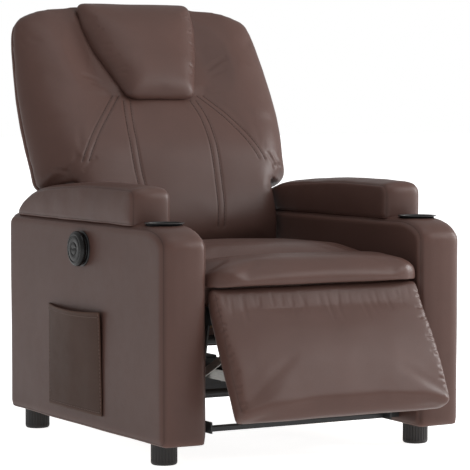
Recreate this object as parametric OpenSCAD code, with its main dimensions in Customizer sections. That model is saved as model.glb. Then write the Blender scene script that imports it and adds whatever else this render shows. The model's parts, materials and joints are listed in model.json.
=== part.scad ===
// Single-motor power recliner armchair: fixed arms and seat, coupled footrest and back.
// All sub-parts are written from the chair's mid-plane (X), the arms' front plane (Y) and the floor (Z),
// then moved as one so that the origin is the bottom centre of the whole chair.

/* [Overall] */
// Width over the two arms
overall_w = 785; // [765:1:805]
// Width of one arm
arm_w = 111; // [105:1:116]
// Length of an arm, front to rear
arm_len = 823; // [815:1:840]
// Height of the arm's top above the floor, without its pad
arm_top_z = 538; // [530:1:545]
// Height of the feet
foot_h = 51; // [45:1:55]

/* [Back] */
// Lean of the back from vertical in the stored position, in degrees
back_lean = 22.3; // [20:0.1:24]
// Half-width of the back's wings above the arms
wing_half_w = 357; // [345:1:365]
// Length of the back from its hinge to its top, along the lean
back_h = 770; // [750:1:790]
// Thickness of the back's rear cover behind the hinge plane
back_rear_t = 55; // [52:1:60]

/* [Seat and footrest] */
// Height of the seat cushion's crown
seat_crown_z = 470; // [460:1:476]
// Length of the footrest pad, from its hinge to its free end
footrest_len = 285; // [275:1:295]
// Angle of the footrest forward of vertical in the stored position, in degrees
footrest_tilt = 27; // [24:0.5:30]

/* [Details] */
// Inner radius of a cup holder
cup_r = 38; // [36:0.5:39]
// Depth of a cup holder below its rim
cup_depth = 70; // [60:1:76]
// How far the control pod stands out of the arm
pod_reach = 24; // [22:1:26]
// Radius of the control pod
pod_r = 41; // [38:1:43]

/* [Hidden] */
$fn = 48;

leather = "#5b4844";
leather_dark = "#493835";
black_plastic = "#1c1a1a";
dark_steel = "#37383a";
zinc = "#a5a29c";
plywood = "#b58f62";

// Place of the chair in its own frame: the pod makes the left side deeper than the right
mid_x = pod_reach / 2;
front_y = -421;

// Arms
half_w = overall_w / 2;
arm_in = half_w - arm_w;
cover_t = 8;
arm_mid = half_w - arm_w / 2;
nose_len = 105;
nose_drop = 50;
arm_rear_r = 31;
foot_r = 30;
foot_ys = [103.5, 778];
cup_y = 100;
cup_wall = 2.2;
rim_r = cup_r + 7;
rim_z = arm_top_z + 3;
panel_t = 9;
board_t = 18;
frame_in = arm_in + cover_t + 1;
frame_out = half_w - cover_t - 1;
frame_z = foot_h + 6;

// Arm pads
pad_y0 = 170;
pad_y1 = 785;
pad_gap = 0.5;

// Control pod and pocket on the left arm
pod_y = 402;
pod_z = 468;
button_r = 14;
button_gap = 3;
button_fit = 0.5;
button_travel = 1.5;
button_recess = 5.5;
pocket_y = 438;
pocket_half = 144;
pocket_z0 = 88;
pocket_z1 = 329;
pocket_bulge = 16;
sheet_t = 3;

// Planes of the steel mechanism, measured from the mid-plane
plate_in = 237.5;
plate_t = 4;
plate_out = plate_in + plate_t;
crank_in = plate_out + 2;
link_t = 3;
crank_out = crank_in + link_t;
push_in = crank_out + 1.5;
push_out = push_in + link_t;
head_out = push_out + 3;
bracket_in = 231;
bracket_out = 235;
lever_in = 226;
lever_out = lever_in + link_t;
recline_in = 221.5;
recline_out = recline_in + link_t;

// Pivots in the side view, as [Y, Z]
foot_pivot = [12.8, 379];
coupler = [260, -125];
torque_pivot = foot_pivot + coupler;
back_pivot = [630, 330];
link_arm = [130, 45];

// Drive geometry: the levers hang straight down when the footrest is this far past its stored angle
mid_open = 15.5;
drive_r = 60;
recline_r = 50;
back_lever_r = 121.5;
back_mid = 6.27;
drive_end = torque_pivot + drive_r * [sin(mid_open), -cos(mid_open)];
recline_end = torque_pivot + recline_r * [sin(mid_open), -cos(mid_open)];
back_lever_end = back_pivot + back_lever_r * [sin(back_mid), -cos(back_mid)];
rail_z = 147.5;
rail_h = 25;
rail_w = 30;

// Pins, tubes and fits
pin_r = 4;
foot_pin_r = 5;
back_pin_r = 6;
tube_r = 11;
cross_r = 10;
bush_r = 14;
run_fit = 0.05;
press_fit = 0.02;
open_r = 6.5;
bolt_r = 4;
front_cross = [135, rail_z];
rear_cross = [588, rail_z + 2.5];
arm_bolt_pts = [[150, 80], [675, 80], [110, 330], [500, 330]];
seat_bolt_pts = [[160, 330], [440, 330]];
seat_z0 = 305;
seat_z1 = 350;
seat_half = plate_in - 0.3;
seat_y0 = 52;
seat_y1 = 545;
rail_lumber = 25;
soft_half = 272;
front_rail_y = 103;
front_rail_z = 72;
rear_rail_y = 720;
rear_rail_z = 82;
rail_clear = 0.5;

// Back, in its own plane: local Y to the rear of the hinge plane, local Z up the lean
wing_u = 285;
wing_corner_r = 32;
shoulder_r = 100;
lower_u = 115;
shell_t = 11;
frame_y0 = 20;
frame_y1 = 42;
post_in = 180;
post_out = 229;
post_u0 = 60;
post_u1 = 700;

// Side view of the footrest: distance along the board from its hinge, and depth behind it
pad_top_r = 20;
pad_end_r = 17;
pad_back = 15;
pad_crown = 10;
board_back = 28;
slot_x = [234, 254];

// ---------- 2D and placement helpers ----------

// Points of an elliptical arc, centre c and radii r, from angle a0 to a1
function arc(c, r, a0, a1, n = 10) =
    [for (i = [0:n]) let (a = a0 + (a1 - a0) * i / n) [c[0] + r[0] * cos(a), c[1] + r[1] * sin(a)]];

// The same outline with its mirror image, for shapes that are symmetric about x = 0
function with_mirror(half) = concat(half, [for (i = [len(half) - 1:-1:0]) [-half[i][0], half[i][1]]]);

module chair() {
    translate([mid_x, front_y, 0]) children();
}

// Right side as drawn, left side mirrored
module on_side(side) {
    mirror([side < 0 ? 1 : 0, 0, 0]) children();
}

// A side-view outline (Y, Z) extruded from x0 to x1
module slab(x0, x1) {
    translate([x0, 0, 0]) rotate([90, 0, 90]) linear_extrude(x1 - x0) children();
}

// A round bar along X through a side-view point
module cross_rod(p, r, x0, x1) {
    translate([x0, p[0], p[1]]) rotate([0, 90, 0]) cylinder(r = r, h = x1 - x0);
}

// A flat bar with round ends between two side-view points
module bar2d(a, b, w) {
    d = b - a;
    translate(a) rotate(atan2(d[1], d[0])) translate([0, -w / 2]) square([norm(d), w]);
    for (p = [a, b]) translate(p) circle(d = w);
}

// The same bar with square ends
module strip2d(a, b, w) {
    d = b - a;
    translate(a) rotate(atan2(d[1], d[0])) translate([0, -w / 2]) square([norm(d), w]);
}

module disc2d(p, r) {
    translate(p) circle(r = r);
}

// Side view of the footrest: x runs down the board, y runs behind it
module footrest_2d() {
    translate(foot_pivot) rotate(270 - footrest_tilt) children();
}

function footrest_pt(p) =
    foot_pivot + p[0] * [-sin(footrest_tilt), -cos(footrest_tilt)] + p[1] * [cos(footrest_tilt), -sin(footrest_tilt)];

link_pt = footrest_pt(link_arm);
crank_end = link_pt + coupler;

// Side view of the back: x runs to its rear, y runs up the lean
module back_2d() {
    translate(back_pivot) rotate(-back_lean) children();
}

module back_space() {
    translate([0, back_pivot[0], back_pivot[1]]) rotate([-back_lean, 0, 0]) children();
}

// A front-view outline of the back (X, up the lean) with its depth from y0 to y1
module back_slab(y0, y1) {
    translate([0, y1, 0]) rotate([90, 0, 0]) linear_extrude(y1 - y0) children();
}

// ---------- Arms ----------

function arm_outline(inset) = concat(
    arc([nose_len, arm_top_z - nose_drop], [nose_len - inset, nose_drop - inset], 180, 90),
    arc([arm_len - arm_rear_r, arm_top_z - arm_rear_r], [arm_rear_r - inset, arm_rear_r - inset], 90, 0),
    arc([arm_len - 18, foot_h + 18], [18 - inset, 18 - inset], 0, -90, 4),
    arc([15, foot_h + 15], [15 - inset, 15 - inset], 270, 180, 4));

module arm_bolt_holes(x0, x1, r) {
    for (p = arm_bolt_pts) cross_rod(p, r, x0, x1);
}

module arm_cover() {
    difference() {
        slab(arm_in, half_w) polygon(arm_outline(0));
        slab(arm_in + cover_t, half_w - cover_t) {
            polygon(arm_outline(cover_t));
            translate([cover_t, foot_h - 5]) square([arm_len - 2 * cover_t, 100]);
        }
        translate([arm_mid, cup_y, arm_top_z - 90]) cylinder(r = cup_r + cup_wall + 0.3, h = 100);
        arm_bolt_holes(arm_in - 1, arm_in + cover_t + 1, bolt_r + 0.2);
    }
}

module arm_frame() {
    w = frame_out - frame_in;
    difference() {
        union() {
            translate([frame_in, 12, frame_z]) cube([w, 796, board_t]);
            translate([frame_in, 12, frame_z]) cube([panel_t, 796, 440]);
            translate([frame_in, 60, 500 - panel_t]) cube([w, 735, board_t]);
            translate([frame_in, 14, frame_z]) cube([w, 36, 420]);
            translate([frame_in, 765, frame_z]) cube([w, 36, 440]);
        }
        translate([arm_mid, cup_y, 400]) cylinder(r = cup_r + cup_wall + 0.6, h = 200);
        arm_bolt_holes(frame_in - 1, frame_in + panel_t + 1, bolt_r + 0.2);
        for (y = foot_ys) translate([arm_mid, y, frame_z]) {
            translate([0, 0, -1]) cylinder(r = bolt_r + 0.2, h = board_t + 2);
            translate([0, 0, board_t]) cylinder(r = 11, h = 14);
        }
    }
}

function pad_outline() = concat(
    [[pad_y0 + 4, arm_top_z + pad_gap]],
    arc([pad_y0 + 26, arm_top_z + 50], [26, 24], 180, 100, 6),
    [[pad_y0 + 100, arm_top_z + 83], [pad_y0 + 200, arm_top_z + 85], [pad_y0 + 280, arm_top_z + 85]],
    [[523, arm_top_z + 79], [607, arm_top_z + 68], [694, arm_top_z + 46], [741, arm_top_z + 25]],
    [[pad_y1, arm_top_z + pad_gap + 1], [pad_y1, arm_top_z + pad_gap]]);

module arm_pad() {
    slab(arm_in, half_w) polygon(pad_outline());
}

module cup_holder() {
    translate([arm_mid, cup_y, 0]) rotate_extrude() polygon([
        [0, rim_z - cup_depth - 3], [cup_r + cup_wall, rim_z - cup_depth - 3], [cup_r + cup_wall, arm_top_z + 0.3],
        [rim_r, arm_top_z + 0.3], [rim_r, rim_z - 1], [rim_r - 1.5, rim_z], [cup_r, rim_z],
        [cup_r, rim_z - cup_depth], [0, rim_z - cup_depth]]);
}

module foot() {
    rotate_extrude() polygon(concat([[0, 0]], arc([foot_r - 6, 6], [6, 6], -90, 0, 6),
        [[foot_r, foot_h + 3.5], [5, foot_h + 3.5], [5, foot_h - 20], [0, foot_h - 20]]));
}

module feet_at_corners() {
    for (side = [-1, 1]) for (y = foot_ys) translate([side * arm_mid, y, 0]) children();
}

module feet() {
    color(black_plastic) chair() feet_at_corners() foot();
}

module foot_bolts() {
    color(zinc) chair() feet_at_corners() {
        translate([0, 0, foot_h - 18]) cylinder(r = bolt_r, h = 18 + 6 + board_t + 2);
        translate([0, 0, frame_z + board_t + 0.2]) cylinder(r = 9, h = 4, $fn = 6);
    }
}

module arm_cover_left() { color(leather) chair() on_side(-1) arm_cover(); }
module arm_cover_right() { color(leather) chair() on_side(1) arm_cover(); }
module arm_frame_left() { color(plywood) chair() on_side(-1) arm_frame(); }
module arm_frame_right() { color(plywood) chair() on_side(1) arm_frame(); }
module arm_pad_left() { color(leather) chair() on_side(-1) arm_pad(); }
module arm_pad_right() { color(leather) chair() on_side(1) arm_pad(); }
module cup_holder_left() { color(black_plastic) chair() on_side(-1) cup_holder(); }
module cup_holder_right() { color(black_plastic) chair() on_side(1) cup_holder(); }

// ---------- Pocket and control pod, on the left arm's outer face ----------

module side_pocket() {
    outer = arc([half_w + 0.1, pocket_y], [pocket_bulge, pocket_half], -90, 90, 16);
    inner = arc([half_w + 0.1, pocket_y], [pocket_bulge - sheet_t, pocket_half - sheet_t], -90, 90, 16);
    color(leather_dark) chair() on_side(-1) difference() {
        translate([0, 0, pocket_z0]) linear_extrude(pocket_z1 - pocket_z0) polygon(outer);
        translate([0, 0, pocket_z0 + sheet_t]) linear_extrude(pocket_z1 - pocket_z0) polygon(concat(
            [[half_w, inner[0][1]]], inner, [[half_w, inner[len(inner) - 1][1]]]));
    }
}

// Round part of the pod from depth x0 to x1 out of the arm's face
module pod_disc(x0, x1, r) {
    cross_rod([pod_y, pod_z], r, half_w + x0, half_w + x1);
}

module switch_flange() {
    color(black_plastic) chair() on_side(-1) {
        pod_disc(0.05, 5, pod_r + 0.5);
        pod_disc(4, 9, pod_r - 7);
    }
}

// Half-round outline of a button; up is 1 for the upper one and -1 for the lower one
module button_outline(up, grow) {
    intersection() {
        translate([pod_y, pod_z]) circle(r = button_r + grow);
        translate([pod_y - 30, pod_z + (up > 0 ? button_gap / 2 - grow : -30 - button_gap / 2 + grow)]) square([60, 30]);
    }
}

module switch_housing() {
    face = pod_reach - 1;
    color(black_plastic) chair() on_side(-1) difference() {
        union() {
            pod_disc(9.05, face - 2, pod_r);
            pod_disc(face - 3, face, pod_r - 3);
        }
        for (up = [-1, 1]) slab(half_w + face - button_recess, half_w + face + 1) button_outline(up, button_fit);
    }
}

module button(up) {
    slab(half_w + pod_reach - 4.5, half_w + pod_reach) button_outline(up, 0);
}

module button_open() { color(black_plastic) chair() on_side(-1) button(1); }
module button_close() { color(black_plastic) chair() on_side(-1) button(-1); }

// ---------- Fixed steelwork ----------

module side_plate() {
    slab(plate_in, plate_out) difference() {
        union() {
            strip2d(foot_pivot, [80, 322], 22);
            disc2d(foot_pivot, 12.5);
            translate([60, 310]) square([back_pivot[0] - 60, 40]);
            disc2d(back_pivot, 27);
            strip2d([85, 320], [105, 235], 30);
            strip2d([95, 245], [torque_pivot[0], 150], 24);
            strip2d([132, 134], [150, 215], 30);
            translate([60, 67]) square([680, 26]);
            for (y = [torque_pivot[0], rear_cross[0]]) translate([y - 22, 80]) square([44, 240]);
        }
        for (p = concat(arm_bolt_pts, seat_bolt_pts)) disc2d(p, bolt_r + 0.2);
        disc2d(foot_pivot, foot_pin_r + press_fit);
        disc2d(back_pivot, back_pin_r + press_fit);
        disc2d(torque_pivot, bush_r + press_fit);
        disc2d(rear_cross, cross_r + press_fit);
        translate([front_rail_y - 15.5, front_rail_z - 5.5]) square([31, 11]);
        translate([rear_rail_y - 13, rear_rail_z - 10.5]) square([26, 21]);
    }
}

module side_plate_left() { color(dark_steel) chair() on_side(-1) side_plate(); }
module side_plate_right() { color(dark_steel) chair() on_side(1) side_plate(); }

module front_rail() {
    color(dark_steel) chair() translate([-arm_in + rail_clear, front_rail_y - 15, front_rail_z - 5])
        cube([2 * (arm_in - rail_clear), 30, 10]);
}

module rear_rail() {
    color(dark_steel) chair() translate([-arm_in + rail_clear, rear_rail_y - 12.5, rear_rail_z - 10])
        cube([2 * (arm_in - rail_clear), 25, 20]);
}

module both_sides() {
    for (side = [-1, 1]) on_side(side) children();
}

module arm_bolts() {
    color(zinc) chair() both_sides() for (p = arm_bolt_pts) {
        cross_rod(p, bolt_r, plate_in - 1, frame_in + panel_t + 4);
        cross_rod(p, 8, plate_in - 4, plate_in - 0.2);
    }
}

module arm_spacers() {
    color(zinc) chair() both_sides() for (p = arm_bolt_pts) difference() {
        cross_rod(p, 9, plate_out + 0.1, arm_in - 0.1);
        cross_rod(p, bolt_r + 0.3, plate_out - 1, arm_in + 1);
    }
}

module front_cross_tube() {
    reach = plate_in - 0.2;
    color(dark_steel) chair() difference() {
        union() {
            cross_rod(front_cross, cross_r, -reach, reach);
            both_sides() slab(reach - 4, reach) bar2d(front_cross, [150, 172], 24);
        }
        cross_rod(front_cross, cross_r - 1.5, -reach - 1, reach + 1);
    }
}

module rear_cross_tube() {
    color(dark_steel) chair() difference() {
        cross_rod(rear_cross, cross_r, -plate_out, plate_out);
        cross_rod(rear_cross, cross_r - 1.5, -plate_out - 1, plate_out + 1);
    }
}

module back_pivot_pins() {
    color(zinc) chair() both_sides() {
        cross_rod(back_pivot, back_pin_r, bracket_in - 2, plate_out + 1);
        cross_rod(back_pivot, back_pin_r + 4, plate_out + 0.1, plate_out + 4);
    }
}

module footrest_pivot_pins() {
    color(zinc) chair() both_sides() {
        cross_rod(foot_pivot, foot_pin_r, plate_in - 1, crank_out + 1);
        cross_rod(foot_pivot, foot_pin_r + 3, plate_in - 3, plate_in - 0.1);
    }
}

module torque_bushes() {
    color(black_plastic) chair() both_sides() difference() {
        cross_rod(torque_pivot, bush_r, plate_in - 0.8, plate_out + 0.8);
        cross_rod(torque_pivot, tube_r + run_fit, plate_in - 2, plate_out + 2);
    }
}

// ---------- Seat ----------

module seat_frame() {
    color(plywood) chair() difference() {
        translate([-seat_half, seat_y0, seat_z0]) cube([2 * seat_half, seat_y1 - seat_y0, seat_z1 - seat_z0]);
        translate([-seat_half + rail_lumber, seat_y0 + rail_lumber, seat_z0 - 1])
            cube([2 * (seat_half - rail_lumber), seat_y1 - seat_y0 - 2 * rail_lumber, 60]);
        both_sides() {
            for (p = seat_bolt_pts) cross_rod(p, bolt_r - 0.2, seat_half - rail_lumber - 1, seat_half + 1);
            for (p = arm_bolt_pts) cross_rod(p, 9, plate_in - 5, plate_in + 1);
        }
    }
}

module seat_bolts() {
    color(zinc) chair() both_sides() for (p = seat_bolt_pts) {
        cross_rod(p, bolt_r - 0.3, seat_half - 20, plate_out + 1);
        cross_rod(p, 8, plate_out + 0.1, plate_out + 1.4);
    }
}

// Closed tube of radius r swept along the points p; ring frames stay square to X
function sweep_ring(p, i, r, sides) = let (
        last = len(p) - 1,
        d = p[min(i + 1, last)] - p[max(i - 1, 0)],
        t = d / norm(d),
        n = [-t[1], t[0], 0] / norm([t[0], t[1]]),
        b = cross(t, n))
    [for (k = [0:sides - 1]) p[i] + r * (cos(360 * k / sides) * n + sin(360 * k / sides) * b)];

module sweep(p, r, sides = 6) {
    n = len(p);
    points = [for (i = [0:n - 1]) each sweep_ring(p, i, r, sides)];
    walls = [for (i = [0:n - 2]) for (k = [0:sides - 1]) let (m = (k + 1) % sides)
        [i * sides + k, i * sides + m, (i + 1) * sides + m, (i + 1) * sides + k]];
    caps = [[for (k = [sides - 1:-1:0]) k], [for (k = [0:sides - 1]) (n - 1) * sides + k]];
    polyhedron(points = points, faces = concat(walls, caps), convexity = 10);
}

// Zigzag wire springs, each one a wave between the seat frame's front and rear rails
module seat_springs() {
    waves = 9;
    steps = 8 * waves;
    run = seat_y1 - seat_y0 - 2 * rail_lumber - 4;
    color(zinc) chair() for (x = [-160:80:160]) sweep([for (i = [0:steps]) [
        x + 24 * sin(360 * waves * i / steps),
        seat_y0 + rail_lumber + 2 + run * i / steps,
        seat_z1 - 20 + 8 * sin(180 * i / steps)]], 1.9);
}

module seat_cushion() {
    color(leather) chair() difference() {
        slab(-soft_half, soft_half) polygon(concat(
            [[78, seat_z1 + 2], [540, seat_z1 + 2]],
            arc([528, 440], [30, 22], 0, 80, 5),
            [[430, seat_crown_z], [250, seat_crown_z + 2], [120, seat_crown_z - 8], [50, seat_crown_z - 15]],
            arc([20, 418], [42, 32], 80, 195, 10),
            [[-12, 405.5], [foot_pivot[0], foot_pivot[1] + pad_top_r + 3], [44, 396]]));
        cross_rod(foot_pivot, pad_top_r + 1.5, -soft_half - 1, soft_half + 1);
    }
}

// ---------- Drive ----------

module drive_rail() {
    color(zinc) chair() difference() {
        union() {
            translate([-rail_w / 2, 140, rail_z - rail_h / 2]) cube([rail_w, 359, rail_h]);
            translate([-20, 120, rail_z - 15]) cube([40, 30, 30]);
        }
        translate([-rail_w / 2 + 3, 160, rail_z - rail_h / 2 + 3]) cube([rail_w - 6, 345, rail_h]);
        cross_rod(front_cross, cross_r + press_fit, -30, 30);
    }
}

module lead_screw() {
    color(zinc) chair() translate([0, 162, rail_z]) rotate([-90, 0, 0]) cylinder(r = 5, h = 337);
}

// The travelling nut wraps the rail; its two yoke plates take the lever's pin in a slot
module drive_slider() {
    slider_y = drive_end[0] - 2;
    slot_low = torque_pivot[1] - drive_r - 8;
    color(black_plastic) chair() difference() {
        union() {
            translate([-21, slider_y - 25, rail_z - 17]) cube([42, 50, 36]);
            for (x = [-21, 15]) translate([x, slider_y - 15, rail_z + 15]) cube([6, 30, 62]);
        }
        translate([-rail_w / 2 - 0.3, slider_y - 30, rail_z - rail_h / 2 - 0.3]) cube([rail_w + 0.6, 60, rail_h + 0.6]);
        translate([-14, slider_y - 30, rail_z + rail_h / 2 - 1]) cube([28, 60, 10]);
        slab(-30, 30) bar2d([slider_y, slot_low], [slider_y, slot_low + 34], 2 * (pin_r + 3.3));
    }
}

module gearbox() {
    color(black_plastic) chair() difference() {
        union() {
            translate([-30, 500, rail_z - 33]) cube([60, 63, 66]);
            translate([-22, 508, rail_z + 30]) cube([44, 46, 10]);
        }
        translate([0, 490, rail_z]) rotate([-90, 0, 0]) cylinder(r = 6, h = 30);
        translate([-36, 532, rail_z]) rotate([0, 90, 0]) cylinder(r = 8, h = 12);
    }
}

module motor() {
    color(dark_steel) chair() {
        cross_rod([532, rail_z], 27, 30.2, 125);
        cross_rod([532, rail_z], 12, 124, 131);
    }
}

module motor_bracket() {
    color(dark_steel) chair() difference() {
        translate([-18, 563.5, rail_z - 16]) cube([36, 42, 36]);
        cross_rod(rear_cross, cross_r + press_fit, -20, 20);
    }
}

// Low-voltage socket under the rear rail of the left side
inlet_r = 4;
inlet_x = -150;
module power_inlet() {
    color(black_plastic) chair() translate([inlet_x, rear_rail_y + 12.7, rear_rail_z]) rotate([-90, 0, 0]) difference() {
        translate([-12, -9, 0]) cube([24, 18, 16]);
        translate([0, 0, 4]) cylinder(r = inlet_r, h = 20);
    }
}

module torque_tube() {
    color(dark_steel) chair() difference() {
        cross_rod(torque_pivot, tube_r, -crank_out, crank_out);
        cross_rod(torque_pivot, tube_r - 2, -crank_out - 1, crank_out + 1);
    }
}

module crank() {
    difference() {
        union() {
            slab(crank_in, crank_out) {
                bar2d(torque_pivot, crank_end, 22);
                disc2d(torque_pivot, 19);
            }
            slab(lever_in, lever_out) {
                bar2d(torque_pivot, recline_end, 18);
                disc2d(torque_pivot, 19);
            }
            cross_rod(crank_end, pin_r, crank_in, head_out - 2);
            cross_rod(crank_end, pin_r + 3, push_out + 0.5, head_out);
            cross_rod(recline_end, pin_r, recline_in - 1, lever_out);
        }
        cross_rod(torque_pivot, tube_r + press_fit, lever_in - 1, crank_out + 1);
    }
}

module crank_left() { color(zinc) chair() on_side(-1) crank(); }
module crank_right() { color(zinc) chair() on_side(1) crank(); }

module drive_lever() {
    color(zinc) chair() {
        difference() {
            slab(-6, 6) {
                bar2d(torque_pivot, drive_end, 20);
                disc2d(torque_pivot, 20);
            }
            cross_rod(torque_pivot, tube_r + press_fit, -7, 7);
        }
        cross_rod(drive_end, pin_r, -22.5, 22.5);
    }
}

module push_link() {
    slab(push_in, push_out) difference() {
        bar2d(crank_end, link_pt, 18);
        disc2d(crank_end, pin_r + run_fit);
        disc2d(link_pt, open_r);
    }
}

module push_link_left() { color(zinc) chair() on_side(-1) push_link(); }
module push_link_right() { color(zinc) chair() on_side(1) push_link(); }

module recline_link() {
    slab(recline_in, recline_out) difference() {
        bar2d(recline_end, back_lever_end, 18);
        disc2d(recline_end, pin_r + run_fit);
    }
}

module recline_link_left() { color(dark_steel) chair() on_side(-1) recline_link(); }
module recline_link_right() { color(dark_steel) chair() on_side(1) recline_link(); }

// ---------- Footrest ----------

module footrest_pad() {
    end = footrest_len - pad_end_r;
    side = concat(
        arc([0, 0], [pad_top_r, pad_top_r], 90, 270, 12),
        [for (i = [1:7]) [end * i / 8, -pad_top_r - pad_crown * sin(180 * i / 8)]],
        arc([end, -pad_top_r + pad_end_r], [pad_end_r, pad_end_r], -90, 90, 10),
        [[60, pad_back], [30, pad_back]]);
    color(leather) chair() difference() {
        slab(-soft_half - 1, soft_half + 1) footrest_2d() polygon(side);
        both_sides() slab(slot_x[0], slot_x[1]) footrest_2d() translate([-25, -40]) square([88, 80]);
    }
}

module footrest_board() {
    color(plywood) chair() slab(-225, 225) footrest_2d()
        translate([40, pad_back + 1]) square([230, board_back - pad_back - 1]);
}

screw_us = [95, 185];
module footrest_bracket() {
    difference() {
        union() {
            slab(crank_in, crank_out) footrest_2d() {
                disc2d([0, 0], 11.5);
                polygon([[-5, 9], [40, 56], [120, 56], [210, 42], [210, 29], [64, 29], [8, -7]]);
            }
            slab(crank_in - 35, crank_in + 1) footrest_2d() translate([70, board_back + 0.5]) square([140, 3]);
            cross_rod(link_pt, pin_r, crank_in, head_out - 2);
            cross_rod(link_pt, pin_r + 3, push_out + 0.5, head_out);
        }
        cross_rod(foot_pivot, foot_pin_r + run_fit, crank_in - 1, crank_out + 1);
        for (u = screw_us) footrest_screw(u, 2.7, board_back - 1, board_back + 10);
    }
}

// A cylinder square to the footrest board, at distance u from the hinge
module footrest_screw(u, r, b0, b1) {
    translate([crank_in - 24, foot_pivot[0], foot_pivot[1]]) rotate([-footrest_tilt, 0, 0])
        translate([0, b0, -u]) rotate([-90, 0, 0]) cylinder(r = r, h = b1 - b0);
}

module footrest_bracket_left() { color(zinc) chair() on_side(-1) footrest_bracket(); }
module footrest_bracket_right() { color(zinc) chair() on_side(1) footrest_bracket(); }

module footrest_screws() {
    color(zinc) chair() both_sides() for (u = screw_us) {
        footrest_screw(u, 2.5, board_back + 0.1, board_back + 5);
        footrest_screw(u, 5, board_back + 3.6, board_back + 6);
    }
}

// ---------- Back ----------

function back_half_outline(inset) = concat(
    [[soft_half - inset, lower_u + inset], [soft_half - inset, wing_u + inset]],
    arc([wing_half_w - wing_corner_r, wing_u + wing_corner_r], (wing_corner_r - inset) * [1, 1], -90, 0, 6),
    arc([wing_half_w - shoulder_r, back_h - 15 - shoulder_r], (shoulder_r - inset) * [1, 1], 0, 80, 8),
    [[150, back_h - 5 - inset]]);

// Side view of the back cushion's front, from the lumbar up to the thin top edge
back_front = [[-92, 210], [-89, 300], [-92, 370], [-80, 450], [-62, 500], [-45, 550], [-28, 600], [-12, 650], [-4, 710]];

module back_cushion() {
    profile = concat(
        [[18, lower_u], [-62, lower_u]],
        arc([-60, lower_u + 32], [32, 32], 250, 180, 5),
        back_front,
        arc([16, back_h - 20], [20, 20], 180, 90, 6),
        [[18, back_h]]);
    color(leather) chair() intersection() {
        back_space() back_slab(-110, 18) polygon(with_mirror(back_half_outline(0)));
        slab(-wing_half_w - 1, wing_half_w + 1) back_2d() polygon(profile);
    }
}

module back_panel() {
    lower = 268;
    skirt = 214;
    wing = [for (p = back_half_outline(0)) if (p[0] > soft_half && p[1] >= wing_u || p[1] > wing_u + 1) p];
    panel = concat([[skirt, -140], [skirt, 90], [lower, 120], [lower, wing_u]], wing);
    color(leather_dark) chair() back_space() difference() {
        back_slab(18.5, back_rear_t) polygon(with_mirror(panel));
        back_slab(17, back_rear_t - shell_t) {
            polygon(with_mirror([for (p = back_half_outline(shell_t)) if (p[1] > wing_u) p]));
            translate([-lower - 5, -150]) square([2 * lower + 10, wing_u + 150 + shell_t]);
        }
    }
}

module back_frame() {
    color(plywood) chair() back_space() difference() {
        union() {
            for (x = [-post_out, post_in]) translate([x, frame_y0, post_u0]) cube([post_out - post_in, frame_y1 - frame_y0, post_u1 - post_u0]);
            for (u = [post_u0 + 60, 330, post_u1 - 60]) translate([-post_in - 1, frame_y0, u]) cube([2 * post_in + 2, frame_y1 - frame_y0, 60]);
            translate([-300, frame_y0, 320]) cube([600, frame_y1 - frame_y0, 40]);
        }
        for (u = back_bolt_us) both_sides() translate([post_out - 31, 31, u]) rotate([0, 90, 0]) cylinder(r = bolt_r - 0.1, h = 40);
    }
}

back_bolt_us = [150, 230];
module back_bracket() {
    difference() {
        slab(bracket_in, bracket_out) difference() {
            union() {
                bar2d(back_pivot, back_lever_end, 24);
                disc2d(back_pivot, 20);
                back_2d() {
                    bar2d([0, 0], [31, 90], 22);
                    bar2d([31, 90], [31, 250], 22);
                }
            }
            disc2d(back_pivot, back_pin_r + run_fit);
            for (u = back_bolt_us) back_2d() disc2d([31, u], bolt_r);
        }
    }
    cross_rod(back_lever_end, pin_r, lever_in, bracket_in + 1);
}

module back_bracket_left() { color(dark_steel) chair() on_side(-1) back_bracket(); }
module back_bracket_right() { color(dark_steel) chair() on_side(1) back_bracket(); }

module back_bolts() {
    color(zinc) chair() both_sides() back_space() for (u = back_bolt_us) {
        translate([post_out - 30, 31, u]) rotate([0, 90, 0]) cylinder(r = bolt_r - 0.2, h = 37);
        translate([bracket_out + 0.1, 31, u]) rotate([0, 90, 0]) cylinder(r = 7, h = 1.9, $fn = 6);
    }
}

module head_pillow() {
    half = concat(arc([70, 527], [35, 35], -90, -15, 6), arc([128, back_h - 7], [24, 24], 0, 90, 6));
    base = [for (i = [len(back_front) - 1:-1:5]) back_front[i] - [2, 0]];
    profile = concat(
        arc([-82, 512], [18, 20], 270, 180, 6),
        [[-98, 550], [-90, 600], [-74, 680], [-62, 730]],
        arc([-40, back_h - 10], [22, 27], 180, 90, 6),
        [[-14, back_h + 17], [-6, back_h]],
        base,
        [[-66, 492]]);
    color(leather) chair() intersection() {
        back_space() back_slab(-135, 10) polygon(with_mirror(half));
        slab(-200, 200) back_2d() polygon(profile);
    }
}

arm_frame_left();
arm_frame_right();
arm_cover_left();
arm_cover_right();
arm_pad_left();
arm_pad_right();
cup_holder_left();
cup_holder_right();
side_pocket();
switch_flange();
switch_housing();
button_open();
button_close();
feet();
foot_bolts();
front_rail();
rear_rail();
side_plate_left();
side_plate_right();
arm_bolts();
arm_spacers();
front_cross_tube();
rear_cross_tube();
seat_frame();
seat_springs();
seat_bolts();
seat_cushion();
back_pivot_pins();
footrest_pivot_pins();
torque_bushes();
motor();
gearbox();
motor_bracket();
drive_rail();
lead_screw();
power_inlet();
back_frame();
back_bracket_left();
back_bracket_right();
back_bolts();
back_cushion();
back_panel();
head_pillow();
footrest_board();
footrest_pad();
footrest_bracket_left();
footrest_bracket_right();
footrest_screws();
torque_tube();
crank_left();
crank_right();
drive_lever();
push_link_left();
push_link_right();
recline_link_left();
recline_link_right();
drive_slider();
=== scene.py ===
"""Power recliner armchair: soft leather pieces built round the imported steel, plywood and plastic frame.

Lengths are in metres. Shapes are written in the chair's own coordinates: X from the mid-plane,
Y from the arms' front plane to the rear, Z from the floor. chair() moves them into the frame.
"""

import json
import math
import random

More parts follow.
